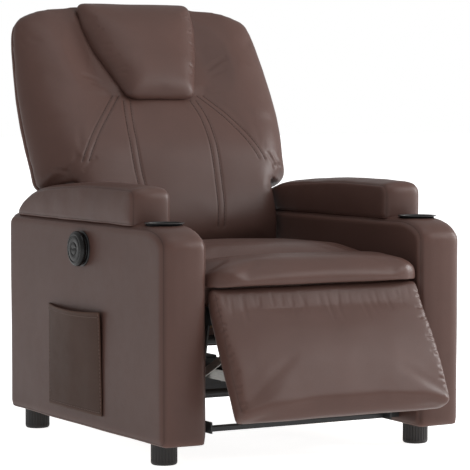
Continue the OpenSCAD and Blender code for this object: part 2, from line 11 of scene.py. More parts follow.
import bmesh
import bpy
import numpy as np
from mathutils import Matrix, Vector, kdtree, noise
from mathutils.bvhtree import BVHTree


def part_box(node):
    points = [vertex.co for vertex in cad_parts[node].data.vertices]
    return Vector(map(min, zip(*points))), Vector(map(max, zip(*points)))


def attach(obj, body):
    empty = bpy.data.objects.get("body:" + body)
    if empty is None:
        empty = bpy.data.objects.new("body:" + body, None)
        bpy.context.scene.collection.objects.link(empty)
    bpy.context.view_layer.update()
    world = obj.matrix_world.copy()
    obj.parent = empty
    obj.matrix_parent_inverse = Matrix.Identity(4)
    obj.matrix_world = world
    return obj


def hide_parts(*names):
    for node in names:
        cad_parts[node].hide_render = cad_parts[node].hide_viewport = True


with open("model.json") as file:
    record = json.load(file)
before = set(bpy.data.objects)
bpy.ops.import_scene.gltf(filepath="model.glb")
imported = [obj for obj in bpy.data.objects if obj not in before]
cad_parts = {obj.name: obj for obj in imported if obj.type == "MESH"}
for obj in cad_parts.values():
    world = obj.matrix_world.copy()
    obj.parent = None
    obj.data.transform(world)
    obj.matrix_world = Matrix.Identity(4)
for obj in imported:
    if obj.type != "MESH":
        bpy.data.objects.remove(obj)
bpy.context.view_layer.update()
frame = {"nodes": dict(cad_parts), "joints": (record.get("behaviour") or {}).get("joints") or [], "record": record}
SEED = 7
random.seed(SEED)

# ---------- The frame's measures ----------

left_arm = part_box("arm_cover_left")
right_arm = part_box("arm_cover_right")
MID_X = (left_arm[0].x + right_arm[1].x) / 2
FRONT_Y = left_arm[0].y
ORIGIN = np.array([MID_X, FRONT_Y, 0.0])
ARM_IN = right_arm[0].x - MID_X
ARM_OUT = right_arm[1].x - MID_X
ARM_MID = (ARM_IN + ARM_OUT) / 2
ARM_HALF = (ARM_OUT - ARM_IN) / 2
ARM_LEN = left_arm[1].y - FRONT_Y
ARM_TOP = left_arm[1].z
ARM_BOTTOM = left_arm[0].z
CUP_Y = 0.100
FOOT_YS = (0.1035, 0.778)

JOINTS = {j["name"]: j for j in frame["joints"]}


def pivot(joint):
    """A joint's place in the side view, as (Y, Z) in the chair's coordinates."""
    place = JOINTS[joint]["pos_m"]
    return np.array([place[1] - FRONT_Y, place[2]])


BACK_PIVOT = pivot("back_recline")
FOOT_PIVOT = pivot("footrest_open")
BACK_LEAN = math.radians(22.3)
FOOT_TILT = math.radians(27)


def chair(points):
    """Chair coordinates to the frame's."""
    return np.asarray(points, float) + ORIGIN


def back_to_chair(points):
    """(x, depth behind the hinge plane, height up the lean) to chair coordinates."""
    p = np.asarray(points, float)
    y = BACK_PIVOT[0] + p[..., 1] * math.cos(BACK_LEAN) + p[..., 2] * math.sin(BACK_LEAN)
    z = BACK_PIVOT[1] - p[..., 1] * math.sin(BACK_LEAN) + p[..., 2] * math.cos(BACK_LEAN)
    return np.stack([p[..., 0], y, z], -1)


def chair_to_back(points):
    p = np.asarray(points, float)
    y = p[..., 1] - BACK_PIVOT[0]
    z = p[..., 2] - BACK_PIVOT[1]
    return np.stack([p[..., 0],
                     y * math.cos(BACK_LEAN) - z * math.sin(BACK_LEAN),
                     y * math.sin(BACK_LEAN) + z * math.cos(BACK_LEAN)], -1)


def foot_to_chair(points):
    """(x, depth behind the footrest's hinge line, distance down the footrest) to chair coordinates."""
    p = np.asarray(points, float)
    y = FOOT_PIVOT[0] + p[..., 1] * math.cos(FOOT_TILT) - p[..., 2] * math.sin(FOOT_TILT)
    z = FOOT_PIVOT[1] - p[..., 1] * math.sin(FOOT_TILT) - p[..., 2] * math.cos(FOOT_TILT)
    return np.stack([p[..., 0], y, z], -1)


# ---------- Materials ----------

def new_material(name, color, roughness, metallic=0.0, specular=0.5):
    material = bpy.data.materials.new(name)
    material.use_nodes = True
    shader = material.node_tree.nodes["Principled BSDF"]
    shader.inputs["Base Color"].default_value = (*color, 1)
    shader.inputs["Roughness"].default_value = roughness
    shader.inputs["Metallic"].default_value = metallic
    shader.inputs["Specular IOR Level"].default_value = specular
    return material, material.node_tree, shader


def add(tree, kind, inputs=None, **settings):
    """A node with its settings, and its inputs given as values or as sockets to link."""
    node = tree.nodes.new(kind)
    for key, value in settings.items():
        setattr(node, key, value)
    for key, value in (inputs or {}).items():
        if isinstance(value, bpy.types.NodeSocket):
            tree.links.new(value, node.inputs[key])
        else:
            node.inputs[key].default_value = value
    return node


def object_coordinates(tree):
    return add(tree, "ShaderNodeTexCoord").outputs["Object"]


def noise_texture(tree, scale, detail=3.0, roughness=0.55, vector=None):
    inputs = {"Scale": scale, "Detail": detail, "Roughness": roughness,
              "Vector": vector or object_coordinates(tree)}
    return add(tree, "ShaderNodeTexNoise", inputs).outputs["Fac"]


def ramp(tree, value, low, high, low_at=0.0, high_at=1.0):
    node = add(tree, "ShaderNodeValToRGB", {"Fac": value})
    ends = node.color_ramp.elements
    ends[0].position, ends[1].position = low_at, high_at
    ends[0].color, ends[1].color = (*low, 1), (*high, 1)
    return node.outputs["Color"]


def remap(tree, value, low, high):
    inputs = {"Value": value, "To Min": low, "To Max": high}
    return add(tree, "ShaderNodeMapRange", inputs).outputs["Result"]


def bump(tree, shader, layers):
    """Bump layers, each (height socket, distance, strength), one on another."""
    normal = None
    for height, distance, strength in layers:
        inputs = {"Height": height, "Distance": distance, "Strength": strength}
        if normal:
            inputs["Normal"] = normal
        normal = add(tree, "ShaderNodeBump", inputs).outputs["Normal"]
    tree.links.new(normal, shader.inputs["Normal"])


def scaled(color, factor):
    return tuple(c * factor for c in color)


def leather_material(name, color, roughness=0.39, specular=0.25):
    """Pebbled faux leather: fine grain cells, hairline creases, mottled dye and worn high spots."""
    material, tree, shader = new_material(name, color, roughness, specular=specular)
    place = object_coordinates(tree)
    mottle = noise_texture(tree, 9.0, 4.0, 0.6, place)
    dyed = ramp(tree, mottle, scaled(color, 0.95), scaled(color, 1.05), 0.3, 0.7)
    cells = add(tree, "ShaderNodeTexVoronoi", {"Scale": 620.0, "Vector": place}, feature="DISTANCE_TO_EDGE")
    cell_line = remap(tree, cells.outputs["Distance"], 0.0, 1.0)
    pores = ramp(tree, cell_line, (0.82, 0.82, 0.82), (1, 1, 1), 0.0, 0.12)
    worn = add(tree, "ShaderNodeNewGeometry").outputs["Pointiness"]
    edge = ramp(tree, worn, (0.0, 0.0, 0.0), (1, 1, 1), 0.505, 0.56)
    grained = add(tree, "ShaderNodeMix", {"Factor": 0.55, 6: dyed, 7: pores},
                  data_type="RGBA", blend_type="MULTIPLY").outputs[2]
    lighter = add(tree, "ShaderNodeMix", {"Factor": edge, 6: grained, 7: (*scaled(color, 1.35), 1)},
                  data_type="RGBA").outputs[2]
    tree.links.new(lighter, shader.inputs["Base Color"])
    gloss = noise_texture(tree, 34.0, 3.0, 0.6, place)
    tree.links.new(remap(tree, gloss, roughness - 0.06, roughness + 0.08), shader.inputs["Roughness"])
    crease = noise_texture(tree, 120.0, 5.0, 0.65, place)
    bump(tree, shader, [(noise_texture(tree, 26.0, 2.0, 0.5, place), 0.0008, 0.10),
                        (crease, 0.0005, 0.22),
                        (cells.outputs["Distance"], 0.0004, 0.30)])
    return material


def plastic_material(name, color, roughness, grain=0.12):
    material, tree, shader = new_material(name, color, roughness)
    place = object_coordinates(tree)
    cloud = noise_texture(tree, 40.0, 3.0, 0.5, place)
    tree.links.new(ramp(tree, cloud, scaled(color, 0.85), scaled(color, 1.2), 0.35, 0.65),
                   shader.inputs["Base Color"])
    tree.links.new(remap(tree, cloud, roughness - 0.05, roughness + 0.07), shader.inputs["Roughness"])
    bump(tree, shader, [(noise_texture(tree, 1400.0, 2.0, 0.5, place), 0.0002, grain)])
    return material


def metal_material(name, color, roughness, metallic, streak):
    """Plated or coated steel, with streaks along its length and a fine orange-peel surface."""
    material, tree, shader = new_material(name, color, roughness, metallic)
    place = object_coordinates(tree)
    stretch = add(tree, "ShaderNodeMapping", {"Vector": place, "Scale": (1.0, 1.0, 9.0)}).outputs["Vector"]
    streaks = noise_texture(tree, 60.0, 4.0, 0.6, stretch)
    tree.links.new(ramp(tree, streaks, scaled(color, 1 - streak), scaled(color, 1 + streak), 0.3, 0.7),
                   shader.inputs["Base Color"])
    tree.links.new(remap(tree, streaks, roughness - 0.07, roughness + 0.1), shader.inputs["Roughness"])
    bump(tree, shader, [(noise_texture(tree, 900.0, 2.0, 0.5, place), 0.0002, 0.1)])
    return material


def plywood_material(name):
    """Lumber with long grain, and the thin dark glue lines of its plies."""
    pale, dark = (0.52, 0.36, 0.20), (0.30, 0.18, 0.09)
    material, tree, shader = new_material(name, pale, 0.7)
    place = object_coordinates(tree)
    along = add(tree, "ShaderNodeMapping", {"Vector": place, "Scale": (9.0, 1.2, 9.0)}).outputs["Vector"]
    grain = noise_texture(tree, 14.0, 6.0, 0.65, along)
    wood = ramp(tree, grain, dark, pale, 0.3, 0.62)
    plies = add(tree, "ShaderNodeTexWave", {"Scale": 110.0, "Distortion": 0.4, "Vector": place},
                wave_type="BANDS", bands_direction="X").outputs["Fac"]
    lines = ramp(tree, plies, (0.7, 0.62, 0.55), (1, 1, 1), 0.0, 0.25)
    mixed = add(tree, "ShaderNodeMix", {"Factor": 0.7, 6: wood, 7: lines},
                data_type="RGBA", blend_type="MULTIPLY").outputs[2]
    tree.links.new(mixed, shader.inputs["Base Color"])
    bump(tree, shader, [(grain, 0.0008, 0.3)])
    return material


LEATHER_BROWN = (0.096, 0.0505, 0.0410)
leather = leather_material("leather", LEATHER_BROWN)
leather_seat = leather_material("leather_seat", scaled(LEATHER_BROWN, 1.02), 0.37)
pocket_leather = leather_material("leather_pocket", (0.066, 0.035, 0.025), 0.5, 0.12)
thread = plastic_material("thread", (0.16, 0.105, 0.09), 0.6, 0.3)
# Painted shade: the leather at 0.45 of its brightness, for the shade in the seam creases
painted_seam_shade = leather_material("seam_fold", scaled(LEATHER_BROWN, 0.45), 0.6)
black_plastic = plastic_material("black_plastic", (0.013, 0.0125, 0.013), 0.36)
rubber = plastic_material("foot_plastic", (0.016, 0.014, 0.014), 0.42, 0.2)
pod_plastic = plastic_material("pod_plastic", (0.0040, 0.0037, 0.0036), 0.26, 0.05)
pod_plastic.node_tree.nodes["Principled BSDF"].inputs["Specular IOR Level"].default_value = 0.32
zinc = metal_material("zinc_plate", (0.58, 0.57, 0.54), 0.34, 1.0, 0.15)
powder = metal_material("powder_coat", (0.035, 0.036, 0.038), 0.42, 0.3, 0.2)
plywood = plywood_material("plywood")

SLOT_MATERIALS = {"leather": leather, "plywood": plywood, "zinc_steel": zinc, "black_steel": powder,
                  "black_plastic": black_plastic, "pod_plastic": pod_plastic}


def paint(obj, material):
    obj.data.materials.clear()
    obj.data.materials.append(material)


for part in frame["record"]["subparts"]:
    paint(frame["nodes"][part["node"]], SLOT_MATERIALS[part["material_slot"]])


# ---------- Mesh helpers ----------

def mesh_object(name, points, faces, material=None, smooth=True):
    mesh = bpy.data.meshes.new(name)
    mesh.from_pydata([tuple(map(float, p)) for p in points], [], [tuple(map(int, f)) for f in faces])
    mesh.validate()
    obj = bpy.data.objects.new(name, mesh)
    bpy.context.scene.collection.objects.link(obj)
    if smooth:
        mesh.polygons.foreach_set("use_smooth", [True] * len(mesh.polygons))
    if material:
        paint(obj, material)
    return obj


def coordinates(obj):
    co = np.zeros(len(obj.data.vertices) * 3)
    obj.data.vertices.foreach_get("co", co)
    return co.reshape(-1, 3)


def normals(obj):
    no = np.zeros(len(obj.data.vertices) * 3)
    obj.data.vertices.foreach_get("normal", no)
    return no.reshape(-1, 3)


def set_coordinates(obj, co):
    obj.data.vertices.foreach_set("co", np.asarray(co, float).ravel())
    obj.data.update()


def apply_modifiers(obj):
    """The mesh as its modifiers leave it, with no modifier left."""
    bpy.context.view_layer.update()
    shaped = bpy.data.meshes.new_from_object(obj.evaluated_get(bpy.context.evaluated_depsgraph_get()))
    obj.modifiers.clear()
    obj.data = shaped
    shaped.polygons.foreach_set("use_smooth", [True] * len(shaped.polygons))


def smoothed(obj, times, factor=0.5):
    modifier = obj.modifiers.new("smooth", "SMOOTH")
    modifier.factor, modifier.iterations = factor, times
    apply_modifiers(obj)


def remeshed(obj, voxel, smooth_times=5):
    modifier = obj.modifiers.new("remesh", "REMESH")
    modifier.mode, modifier.voxel_size = "VOXEL", voxel
    apply_modifiers(obj)
    smoothed(obj, smooth_times)


def subdivided(obj):
    obj.modifiers.new("subdivision", "SUBSURF").levels = 1
    apply_modifiers(obj)


def band_faces(rows, count):
    """Quads that join `rows` rings of `count` points, each ring to the next."""
    faces = []
    for near in range(0, (rows - 1) * count, count):
        for k in range(count):
            m = (k + 1) % count
            faces.append((near + k, near + m, near + count + m, near + count + k))
    return faces


def cut(obj, *cutters):
    """Each cutter's closed shape is taken out of obj."""
    for cutter in cutters:
        modifier = obj.modifiers.new("cut", "BOOLEAN")
        modifier.operation, modifier.solver, modifier.object = "DIFFERENCE", "EXACT", cutter
        apply_modifiers(obj)
        bpy.data.objects.remove(cutter)


def mirrored(obj, name):
    """obj's mirror image about the chair's mid-plane."""
    co = coordinates(obj)
    co[:, 0] = 2 * MID_X - co[:, 0]
    faces = [tuple(reversed(p.vertices)) for p in obj.data.polygons]
    return mesh_object(name, co, faces, obj.data.materials[0])


def edge_distance(points, outline):
    """Distance of each 2D point from a closed outline."""
    points, outline = np.asarray(points, float), np.asarray(outline, float)
    start, along = outline, np.roll(outline, -1, 0) - outline
    length2 = np.maximum((along ** 2).sum(1), 1e-12)
    best = np.full(len(points), 1e9)
    for s, a, l2 in zip(start, along, length2):
        t = np.clip(((points - s) @ a) / l2, 0, 1)
        best = np.minimum(best, np.linalg.norm(points - s - t[:, None] * a, axis=1))
    return best


def resampled(outline, spacing):
    """A closed outline with a point about every `spacing`."""
    points = []
    outline = np.asarray(outline, float)
    for a, b in zip(outline, np.roll(outline, -1, 0)):
        steps = max(1, int(round(np.linalg.norm(b - a) / spacing)))
        points += [a + (b - a) * i / steps for i in range(steps)]
    return np.array(points)


def inset(outline, amount):
    """A closed outline moved inwards by `amount`, whichever way round it runs."""
    outline = np.asarray(outline, float)
    along = np.roll(outline, -1, 0) - np.roll(outline, 1, 0)
    along /= np.maximum(np.linalg.norm(along, axis=1), 1e-9)[:, None]
    area = np.sum(outline[:, 0] * np.roll(outline[:, 1], -1) - np.roll(outline[:, 0], -1) * outline[:, 1])
    inward = np.stack([-along[:, 1], along[:, 0]], 1) * (1 if area > 0 else -1)
    return outline + inward * amount


def swell(distance, reach, power):
    """0 at a form's outline rising to 1 at `reach` inside it; a higher power gives a squarer edge."""
    return (1 - (1 - np.clip(distance / reach, 0, 1)) ** 2) ** (1 / power)


def lofted(name, outline, low, high, place, centre, rings=26, edge=None):
    """A closed form over a star-shaped outline (a, b). low and high give its third coordinate from
    (points, distance from the edge outline), and place(a, b, c) gives chair coordinates. The edge is
    the outline itself, or one that runs outside it where the form doesn't round off."""
    outline = np.asarray(outline, float)
    centre = np.asarray(centre, float)
    count = len(outline)
    shares = [(1 - (k / rings) ** 1.7) for k in range(rings)]
    flat = np.concatenate([centre + (outline - centre) * s for s in shares] + [centre[None]])
    distance = edge_distance(flat, outline if edge is None else edge)
    if edge is None:
        distance[:count] = 0
    points, faces = [], []
    for surface, side in enumerate((low, high)):
        depth = side(flat, distance)
        points.append(place(flat[:, 0], flat[:, 1], depth))
        base = surface * len(flat)
        for k in range(rings - 1):
            for i in range(count):
                j = (i + 1) % count
                near, far = base + k * count, base + (k + 1) * count
                quad = (near + i, near + j, far + j, far + i)
                faces.append(quad if surface else quad[::-1])
        last = base + (rings - 1) * count
        for i in range(count):
            tri = (last + i, last + (i + 1) % count, base + rings * count)
            faces.append(tri if surface else tri[::-1])
    for i in range(count):
        j = (i + 1) % count
        faces.append((i, j, len(flat) + j, len(flat) + i))
    return mesh_object(name, chair(np.concatenate(points)), faces)


def turned_out(obj):
    """Every face of a closed form turned outwards."""
    work = bmesh.new()
    work.from_mesh(obj.data)
    bmesh.ops.recalc_face_normals(work, faces=work.faces)
    work.to_mesh(obj.data)
    work.free()


def lowered(outline, level, drop):
    """An outline whose points at or below `level` are moved down by `drop`."""
    return np.array([(a, b - drop) if b <= level else (a, b) for a, b in outline])


def side_form(name, outline, x_mid, half, reach, power, centre, voxel=0.006, smooth_times=5, edge=None):
    """A form whose side view is an outline (Y, Z) and whose two ends round off over `reach`."""
    def end(points, distance):
        return half * swell(distance, reach, power)

    obj = lofted(name, outline, lambda p, d: x_mid - end(p, d), lambda p, d: x_mid + end(p, d),
                 lambda a, b, c: np.stack([c, a, b], -1), centre, edge=edge)
    turned_out(obj)
    remeshed(obj, voxel, smooth_times)
    return obj


def arc(centre, radii, start, end, steps=10):
    angles = np.radians(np.linspace(start, end, steps + 1))
    return [(centre[0] + radii[0] * math.cos(t), centre[1] + radii[1] * math.sin(t)) for t in angles]


def prism(name, outline, x0, x1):
    """A straight-sided cutter from a side-view outline."""
    n = len(outline)
    points = [(x, a, b) for x in (x0, x1) for a, b in outline]
    faces = [tuple(range(n))[::-1], tuple(range(n, 2 * n))] + band_faces(2, n)
    obj = mesh_object(name, chair(points), faces, smooth=False)
    turned_out(obj)
    return obj


# ---------- Cloth and sculpting ----------

def path_tree(path):
    tree = kdtree.KDTree(len(path))
    for i, p in enumerate(path):
        tree.insert(p, i)
    tree.balance()
    return tree


def near_path(co, path, reach):
    """Distance to the path and index of its nearest point, for the points within `reach` of it."""
    path = np.asarray(path)
    tree = path_tree(path)
    rows = np.nonzero(np.all((co > path.min(0) - reach) & (co < path.max(0) + reach), axis=1))[0]
    found = [(r, *tree.find(co[r])[1:]) for r in rows]
    found = [f for f in found if f[2] < reach]
    index = np.array([f[0] for f in found], int)
    nearest = np.array([f[1] for f in found], int)
    distance = np.array([f[2] for f in found], float)
    return index, nearest, distance


def inflate(obj, seams, cap, pressure=4.0, fixed=None, frames=20, settle=4):
    """Blows the piece up as cloth, held along its seams and where `fixed` is true, then subdivides it."""
    rest = coordinates(obj)
    held = np.zeros(len(rest))
    for seam in seams:
        held[near_path(rest, seam, 0.007)[0]] = 1
    if fixed is not None:
        held[fixed(rest - ORIGIN)] = 1
    group = obj.vertex_groups.new(name="held")
    group.add([int(i) for i in np.nonzero(held)[0]], 1.0, "REPLACE")
    cloth = obj.modifiers.new("cloth", "CLOTH")
    cloth.settings.quality = 5
    cloth.settings.mass = 0.3
    cloth.settings.tension_stiffness = cloth.settings.compression_stiffness = 14
    cloth.settings.shear_stiffness = 6
    cloth.settings.bending_stiffness = 0.6
    cloth.settings.use_pressure = True
    cloth.settings.uniform_pressure_force = pressure
    cloth.settings.effector_weights.gravity = 0
    cloth.settings.vertex_group_mass = "held"
    cloth.collision_settings.use_collision = False
    scene = bpy.context.scene
    for number in range(1, frames + 1):
        scene.frame_set(number)
    blown = obj.evaluated_get(bpy.context.evaluated_depsgraph_get())
    co = np.zeros(len(rest) * 3)
    blown.data.vertices.foreach_get("co", co)
    moved = co.reshape(-1, 3) - rest
    length = np.linalg.norm(moved, axis=1)
    moved *= np.minimum(1, cap / np.maximum(length, 1e-9))[:, None]
    obj.modifiers.clear()
    obj.vertex_groups.clear()
    set_coordinates(obj, rest + moved)
    scene.frame_set(1)
    smoothed(obj, settle)
    subdivided(obj)


def shrunk(obj, amount):
    set_coordinates(obj, coordinates(obj) - normals(obj) * amount)


def dense(path, spacing=0.002):
    """A path with a point about every `spacing`."""
    path = np.asarray(path, float)
    out = [path[0]]
    for a, b in zip(path, path[1:]):
        steps = max(1, int(np.linalg.norm(b - a) / spacing))
        out += [a + (b - a) * (i + 1) / steps for i in range(steps)]
    return np.array(out)


def smooth_path(path, rounds=3):
    """Corner cutting, with the two ends kept."""
    path = np.asarray(path, float)
    for _ in range(rounds):
        a, b = path[:-1], path[1:]
        inner = np.stack([0.75 * a + 0.25 * b, 0.25 * a + 0.75 * b], 1).reshape(-1, path.shape[1])
        path = np.concatenate([path[:1], inner, path[-1:]])
    return path


def press(obj, path, width, depth, taper=False):
    """A groove along a path on the surface, or a ridge when depth is negative."""
    co, no = coordinates(obj), normals(obj)
    index, nearest, distance = near_path(co, path, width)
    if not len(index):
        return
    share = (1 - (distance / width) ** 2) ** 2
    if taper:
        t = nearest / (len(path) - 1)
        share = share * np.sin(math.pi * t) ** 0.7
    co[index] -= no[index] * (depth * share)[:, None]
    set_coordinates(obj, co)


def roughened(obj, size, amount):
    """Soft unevenness of padding under leather."""
    co, no = coordinates(obj), normals(obj)
    lift = np.array([noise.noise(Vector(p / size)) for p in co])
    set_coordinates(obj, co + no * (lift * amount)[:, None])


def surface_of(obj):
    faces = [tuple(p.vertices) for p in obj.data.polygons]
    return BVHTree.FromPolygons([tuple(c) for c in coordinates(obj)], faces)


def on_surface(tree, points, direction, start=0.3):
    """Points thrown against the surface along a direction; misses are left out."""
    direction = Vector(direction).normalized()
    hits, faces = [], []
    for p in points:
        hit, normal, _, _ = tree.ray_cast(Vector(p) - direction * start, direction)
        if hit:
            hits.append(np.array(hit))
            faces.append(np.array(normal))
    return np.array(hits), np.array(faces)


def nearest_on_surface(tree, points):
    hits, faces = [], []
    for p in points:
        hit, normal, _, _ = tree.find_nearest(Vector(p))
        hits.append(np.array(hit))
        faces.append(np.array(normal))
    return np.array(hits), np.array(faces)


def tube(path, radius, sides=6):
    """Points and faces of a closed tube along a path."""
    path = np.asarray(path, float)
    along = np.gradient(path, axis=0)
    along /= np.maximum(np.linalg.norm(along, axis=1), 1e-9)[:, None]
    helper = np.array([0.31, 0.47, 0.83])
    side = np.cross(along, helper)
    side /= np.linalg.norm(side, axis=1)[:, None]
    other = np.cross(along, side)
    radii = radius * np.ones(len(path)) if np.isscalar(radius) else np.asarray(radius)
    points = []
    for k in range(sides):
        turn = 2 * math.pi * k / sides
        points.append(path + radii[:, None] * (math.cos(turn) * side + math.sin(turn) * other))
    points = np.stack(points, 1).reshape(-1, 3)
    faces = band_faces(len(path), sides)
    faces.append(tuple(range(sides))[::-1])
    faces.append(tuple((len(path) - 1) * sides + k for k in range(sides)))
    return points, faces


def tubes_object(name, paths, radius, material, sides=6):
    points, faces, base = [], [], 0
    for path in paths:
        p, f = tube(path, radius, sides)
        points.append(p)
        faces += [tuple(base + i for i in face) for face in f]
        base += len(p)
    return mesh_object(name, np.concatenate(points), faces, material)


# Depth under the surface of the tubes of painted seam shade
SHADE_SUNK = 0.0003
STITCH_LENGTH = 0.0062
STITCH_PITCH = 0.0088


def stitch_paths(path, lift_along, length=STITCH_LENGTH, pitch=STITCH_PITCH):
    """Short arched pieces of thread along a path that lies on a surface."""
    path = np.asarray(path)
    steps = np.linalg.norm(np.diff(path, axis=0), axis=1)
    run = np.concatenate([[0], np.cumsum(steps)])
    out = []
    start = pitch / 2
    while start + length < run[-1]:
        at = start + length * np.linspace(0, 1, 5)
        points = np.stack([np.interp(at, run, path[:, k]) for k in range(3)], 1)
        up = np.stack([np.interp(at, run, lift_along[:, k]) for k in range(3)], 1)
        arch = np.array([-0.0004, 0.0003, 0.0005, 0.0003, -0.0004])
        out.append(points + up * arch[:, None])
        start += pitch
    return out


def add_seam_shade(piece, name, lines, body, radius):
    """Tubes of painted shade along the seam lines, laid just under the piece's surface."""
    skin = surface_of(piece)
    shade_paths = []
    for line in lines:
        points, faces = nearest_on_surface(skin, line)
        shade_paths.append(points - faces * SHADE_SUNK)
    shade_tubes = tubes_object(name, shade_paths, radius, painted_seam_shade, 5)
    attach(shade_tubes, body)


def on_side(line, side):
    """A line of the right-hand piece, or its mirror image for the left one."""
    line = line.copy()
    flip = -1 if side == "left" else 1
    line[:, 0] = MID_X + flip * (line[:, 0] - MID_X)
    return line


def soft_piece(obj, material, body, nodes):
    paint(obj, material)
    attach(obj, body)
    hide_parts(*nodes)


# ---------- Camera, floor and light ----------

CAMERA_FROM_CHAIR = (-2.717, -4.4161, 0.8136)
CAMERA_YAW = 0.5157
CAMERA_PITCH = 0.0588
# The sensor's width and the lens's focal length are in millimetres
SENSOR = 36.0
LENS = 176.4766


def add_camera():
    data = bpy.data.cameras.new("camera")
    data.sensor_width, data.lens = SENSOR, LENS
    camera = bpy.data.objects.new("camera", data)
    camera.location = chair(CAMERA_FROM_CHAIR)
    camera.rotation_euler = (math.pi / 2 - CAMERA_PITCH, 0, -CAMERA_YAW)
    bpy.context.scene.collection.objects.link(camera)
    bpy.context.scene.camera = camera


def add_area(name, place, target, size, power):
    data = bpy.data.lights.new(name, "AREA")
    data.shape, data.size, data.size_y = "RECTANGLE", *size
    data.energy = power
    light = bpy.data.objects.new(name, data)
    light.location = place
    light.rotation_euler = (Vector(target) - Vector(place)).to_track_quat("-Z", "Y").to_euler()
    bpy.context.scene.collection.objects.link(light)


def add_stage():
    half = 40.0
    floor = mesh_object("floor", [(-half, -half, 0), (half, -half, 0), (half, half, 0), (-half, half, 0)],
                        [(0, 1, 2, 3)], smooth=False)
    material, tree, shader = new_material("floor", (0.95, 0.95, 0.95), 0.9)
    shader.inputs["Emission Color"].default_value = (1, 1, 1, 1)
    seen = add(tree, "ShaderNodeLightPath").outputs["Is Camera Ray"]
    tree.links.new(remap(tree, seen, 0.42, 0.90), shader.inputs["Emission Strength"])
    paint(floor, material)
    world = bpy.data.worlds.new("studio")
    world.use_nodes = True
    tree = world.node_tree
    background = tree.nodes["Background"]
    background.inputs["Color"].default_value = (1, 1, 1, 1)
    seen = add(tree, "ShaderNodeLightPath").outputs["Is Camera Ray"]
    tree.links.new(remap(tree, seen, 0.47, 1.0), background.inputs["Strength"])
    bpy.context.scene.world = world
    bpy.context.scene.view_settings.view_transform = "Standard"
    middle = (0, 0, 0.55)
    add_area("key", (2.4, -2.9, 2.5), middle, (1.8, 1.8), 44)
    add_area("right", (3.2, -0.8, 1.4), middle, (0.9, 1.5), 60)
    add_area("top", (0.4, -0.9, 3.3), middle, (2.0, 2.0), 14)


add_camera()
add_stage()


# ---------- Arms ----------

ARM_EDGE = 0.020
ARM_SQUARE = 3.0
ARM_PROUD_FRONT = 0.005
ARM_PROUD_REAR = 0.006


def arm_outline():
    nose = arc((0.105, ARM_TOP - 0.050), (0.105, 0.050), 180, 90, 14)
    rear = arc((ARM_LEN - 0.031, ARM_TOP - 0.031), (0.031, 0.031), 90, 0, 8)
    rear_foot = arc((ARM_LEN - 0.018, ARM_BOTTOM + 0.018), (0.018, 0.018), 0, -90, 4)
    front_foot = arc((0.015, ARM_BOTTOM + 0.015), (0.015, 0.015), 270, 180, 4)
    return resampled(nose + rear + rear_foot + front_foot, 0.012)


def seam_loop(outline, depth, x):
    """A seam that follows a side outline, `depth` inside it, at width x."""
    loop = inset(outline, depth)
    loop = np.concatenate([loop, loop[:1]])
    return chair(np.stack([np.full(len(loop), x), loop[:, 0], loop[:, 1]], -1))


def hollow_cutter():
    """The room inside an arm: its board frame shows only from below."""
    skin = 0.010
    inner = inset(arm_outline(), skin)
    bottom = [(skin + 0.004, ARM_BOTTOM - 0.01), (ARM_LEN - skin - 0.004, ARM_BOTTOM - 0.01)]
    inner = [p for p in inner if p[1] > ARM_BOTTOM + 0.05]
    order = sorted(inner, key=lambda p: math.atan2(p[1] - 0.06, ARM_LEN / 2 - p[0]))
    return prism("room", order + [bottom[1], bottom[0]], ARM_IN + skin, ARM_OUT - skin)


def cup_cutter(radius, low, high):
    ring = [(ARM_MID + radius * math.cos(t), CUP_Y + radius * math.sin(t))
            for t in np.linspace(0, 2 * math.pi, 64, endpoint=False)]
    n = len(ring)
    points = [(x, y, z) for z in (low, high) for x, y in ring]
    faces = [tuple(range(n))[::-1], tuple(range(n, 2 * n))] + band_faces(2, n)
    return mesh_object("cup_room", chair(points), faces, smooth=False)


def build_arms():
    outline = arm_outline()
    arm = side_form("arm_right_leather", outline, ARM_MID, ARM_HALF, ARM_EDGE, ARM_SQUARE, (0.42, 0.3),
                    edge=lowered(outline, ARM_BOTTOM + 0.020, 0.010))
    co = coordinates(arm) - ORIGIN
    co[:, 0] = ARM_MID + (co[:, 0] - ARM_MID) * 1.02
    co[:, 1] = co[:, 1] * (1 + (ARM_PROUD_FRONT + ARM_PROUD_REAR) / ARM_LEN) - ARM_PROUD_FRONT
    set_coordinates(arm, co + ORIGIN)
    paint(arm, leather)
    roughened(arm, 0.16, 0.0016)
    seam_x = ARM_HALF * 0.93
    sides = [ARM_MID - seam_x, ARM_MID + seam_x]
    loops = [seam_loop(outline, 0.007, x) for x in sides]
    tree = surface_of(arm)
    loops = [dense(nearest_on_surface(tree, dense(p, 0.004))[0]) for p in loops]
    for loop in loops:
        press(arm, loop, 0.009, 0.0022)
    cut(arm, cup_cutter(0.0405, ARM_TOP - 0.09, ARM_TOP + 0.05), hollow_cutter())
    paint(arm, leather)
    other = mirrored(arm, "arm_left_leather")
    for obj, side in ((arm, "right"), (other, "left")):
        soft_piece(obj, leather, "base", [f"arm_cover_{side}"])
        lines = []
        for loop in loops:
            line = on_side(loop, side)
            keep = line[:, 2] > ARM_BOTTOM + 0.004
            if not keep.all():
                line = np.roll(line, -int(np.argmin(keep)), 0)[:int(keep.sum())]
            lines.append(line)
        # Painted shade along the arm's seams
        add_seam_shade(obj, f"arm_seam_shade_{side}", lines, "base", 0.0007)


build_arms()


# ---------- Arm pads ----------

def pad_outline():
    low = ARM_TOP - 0.010
    crown = [(0.27, 0.0845), (0.36, 0.0855), (0.45, 0.083), (0.551, 0.077), (0.620, 0.073), (0.671, 0.066),
             (0.715, 0.054), (0.757, 0.037), (0.782, 0.020), (0.796, 0.003)]
    points = [(0.152, low), (0.151, ARM_TOP + 0.022)]
    points += arc((0.181, ARM_TOP + 0.052), (0.030, 0.031), 180, 96, 8)
    points += [(y, ARM_TOP + height) for y, height in crown] + [(0.796, low)]
    return resampled(points, 0.009)


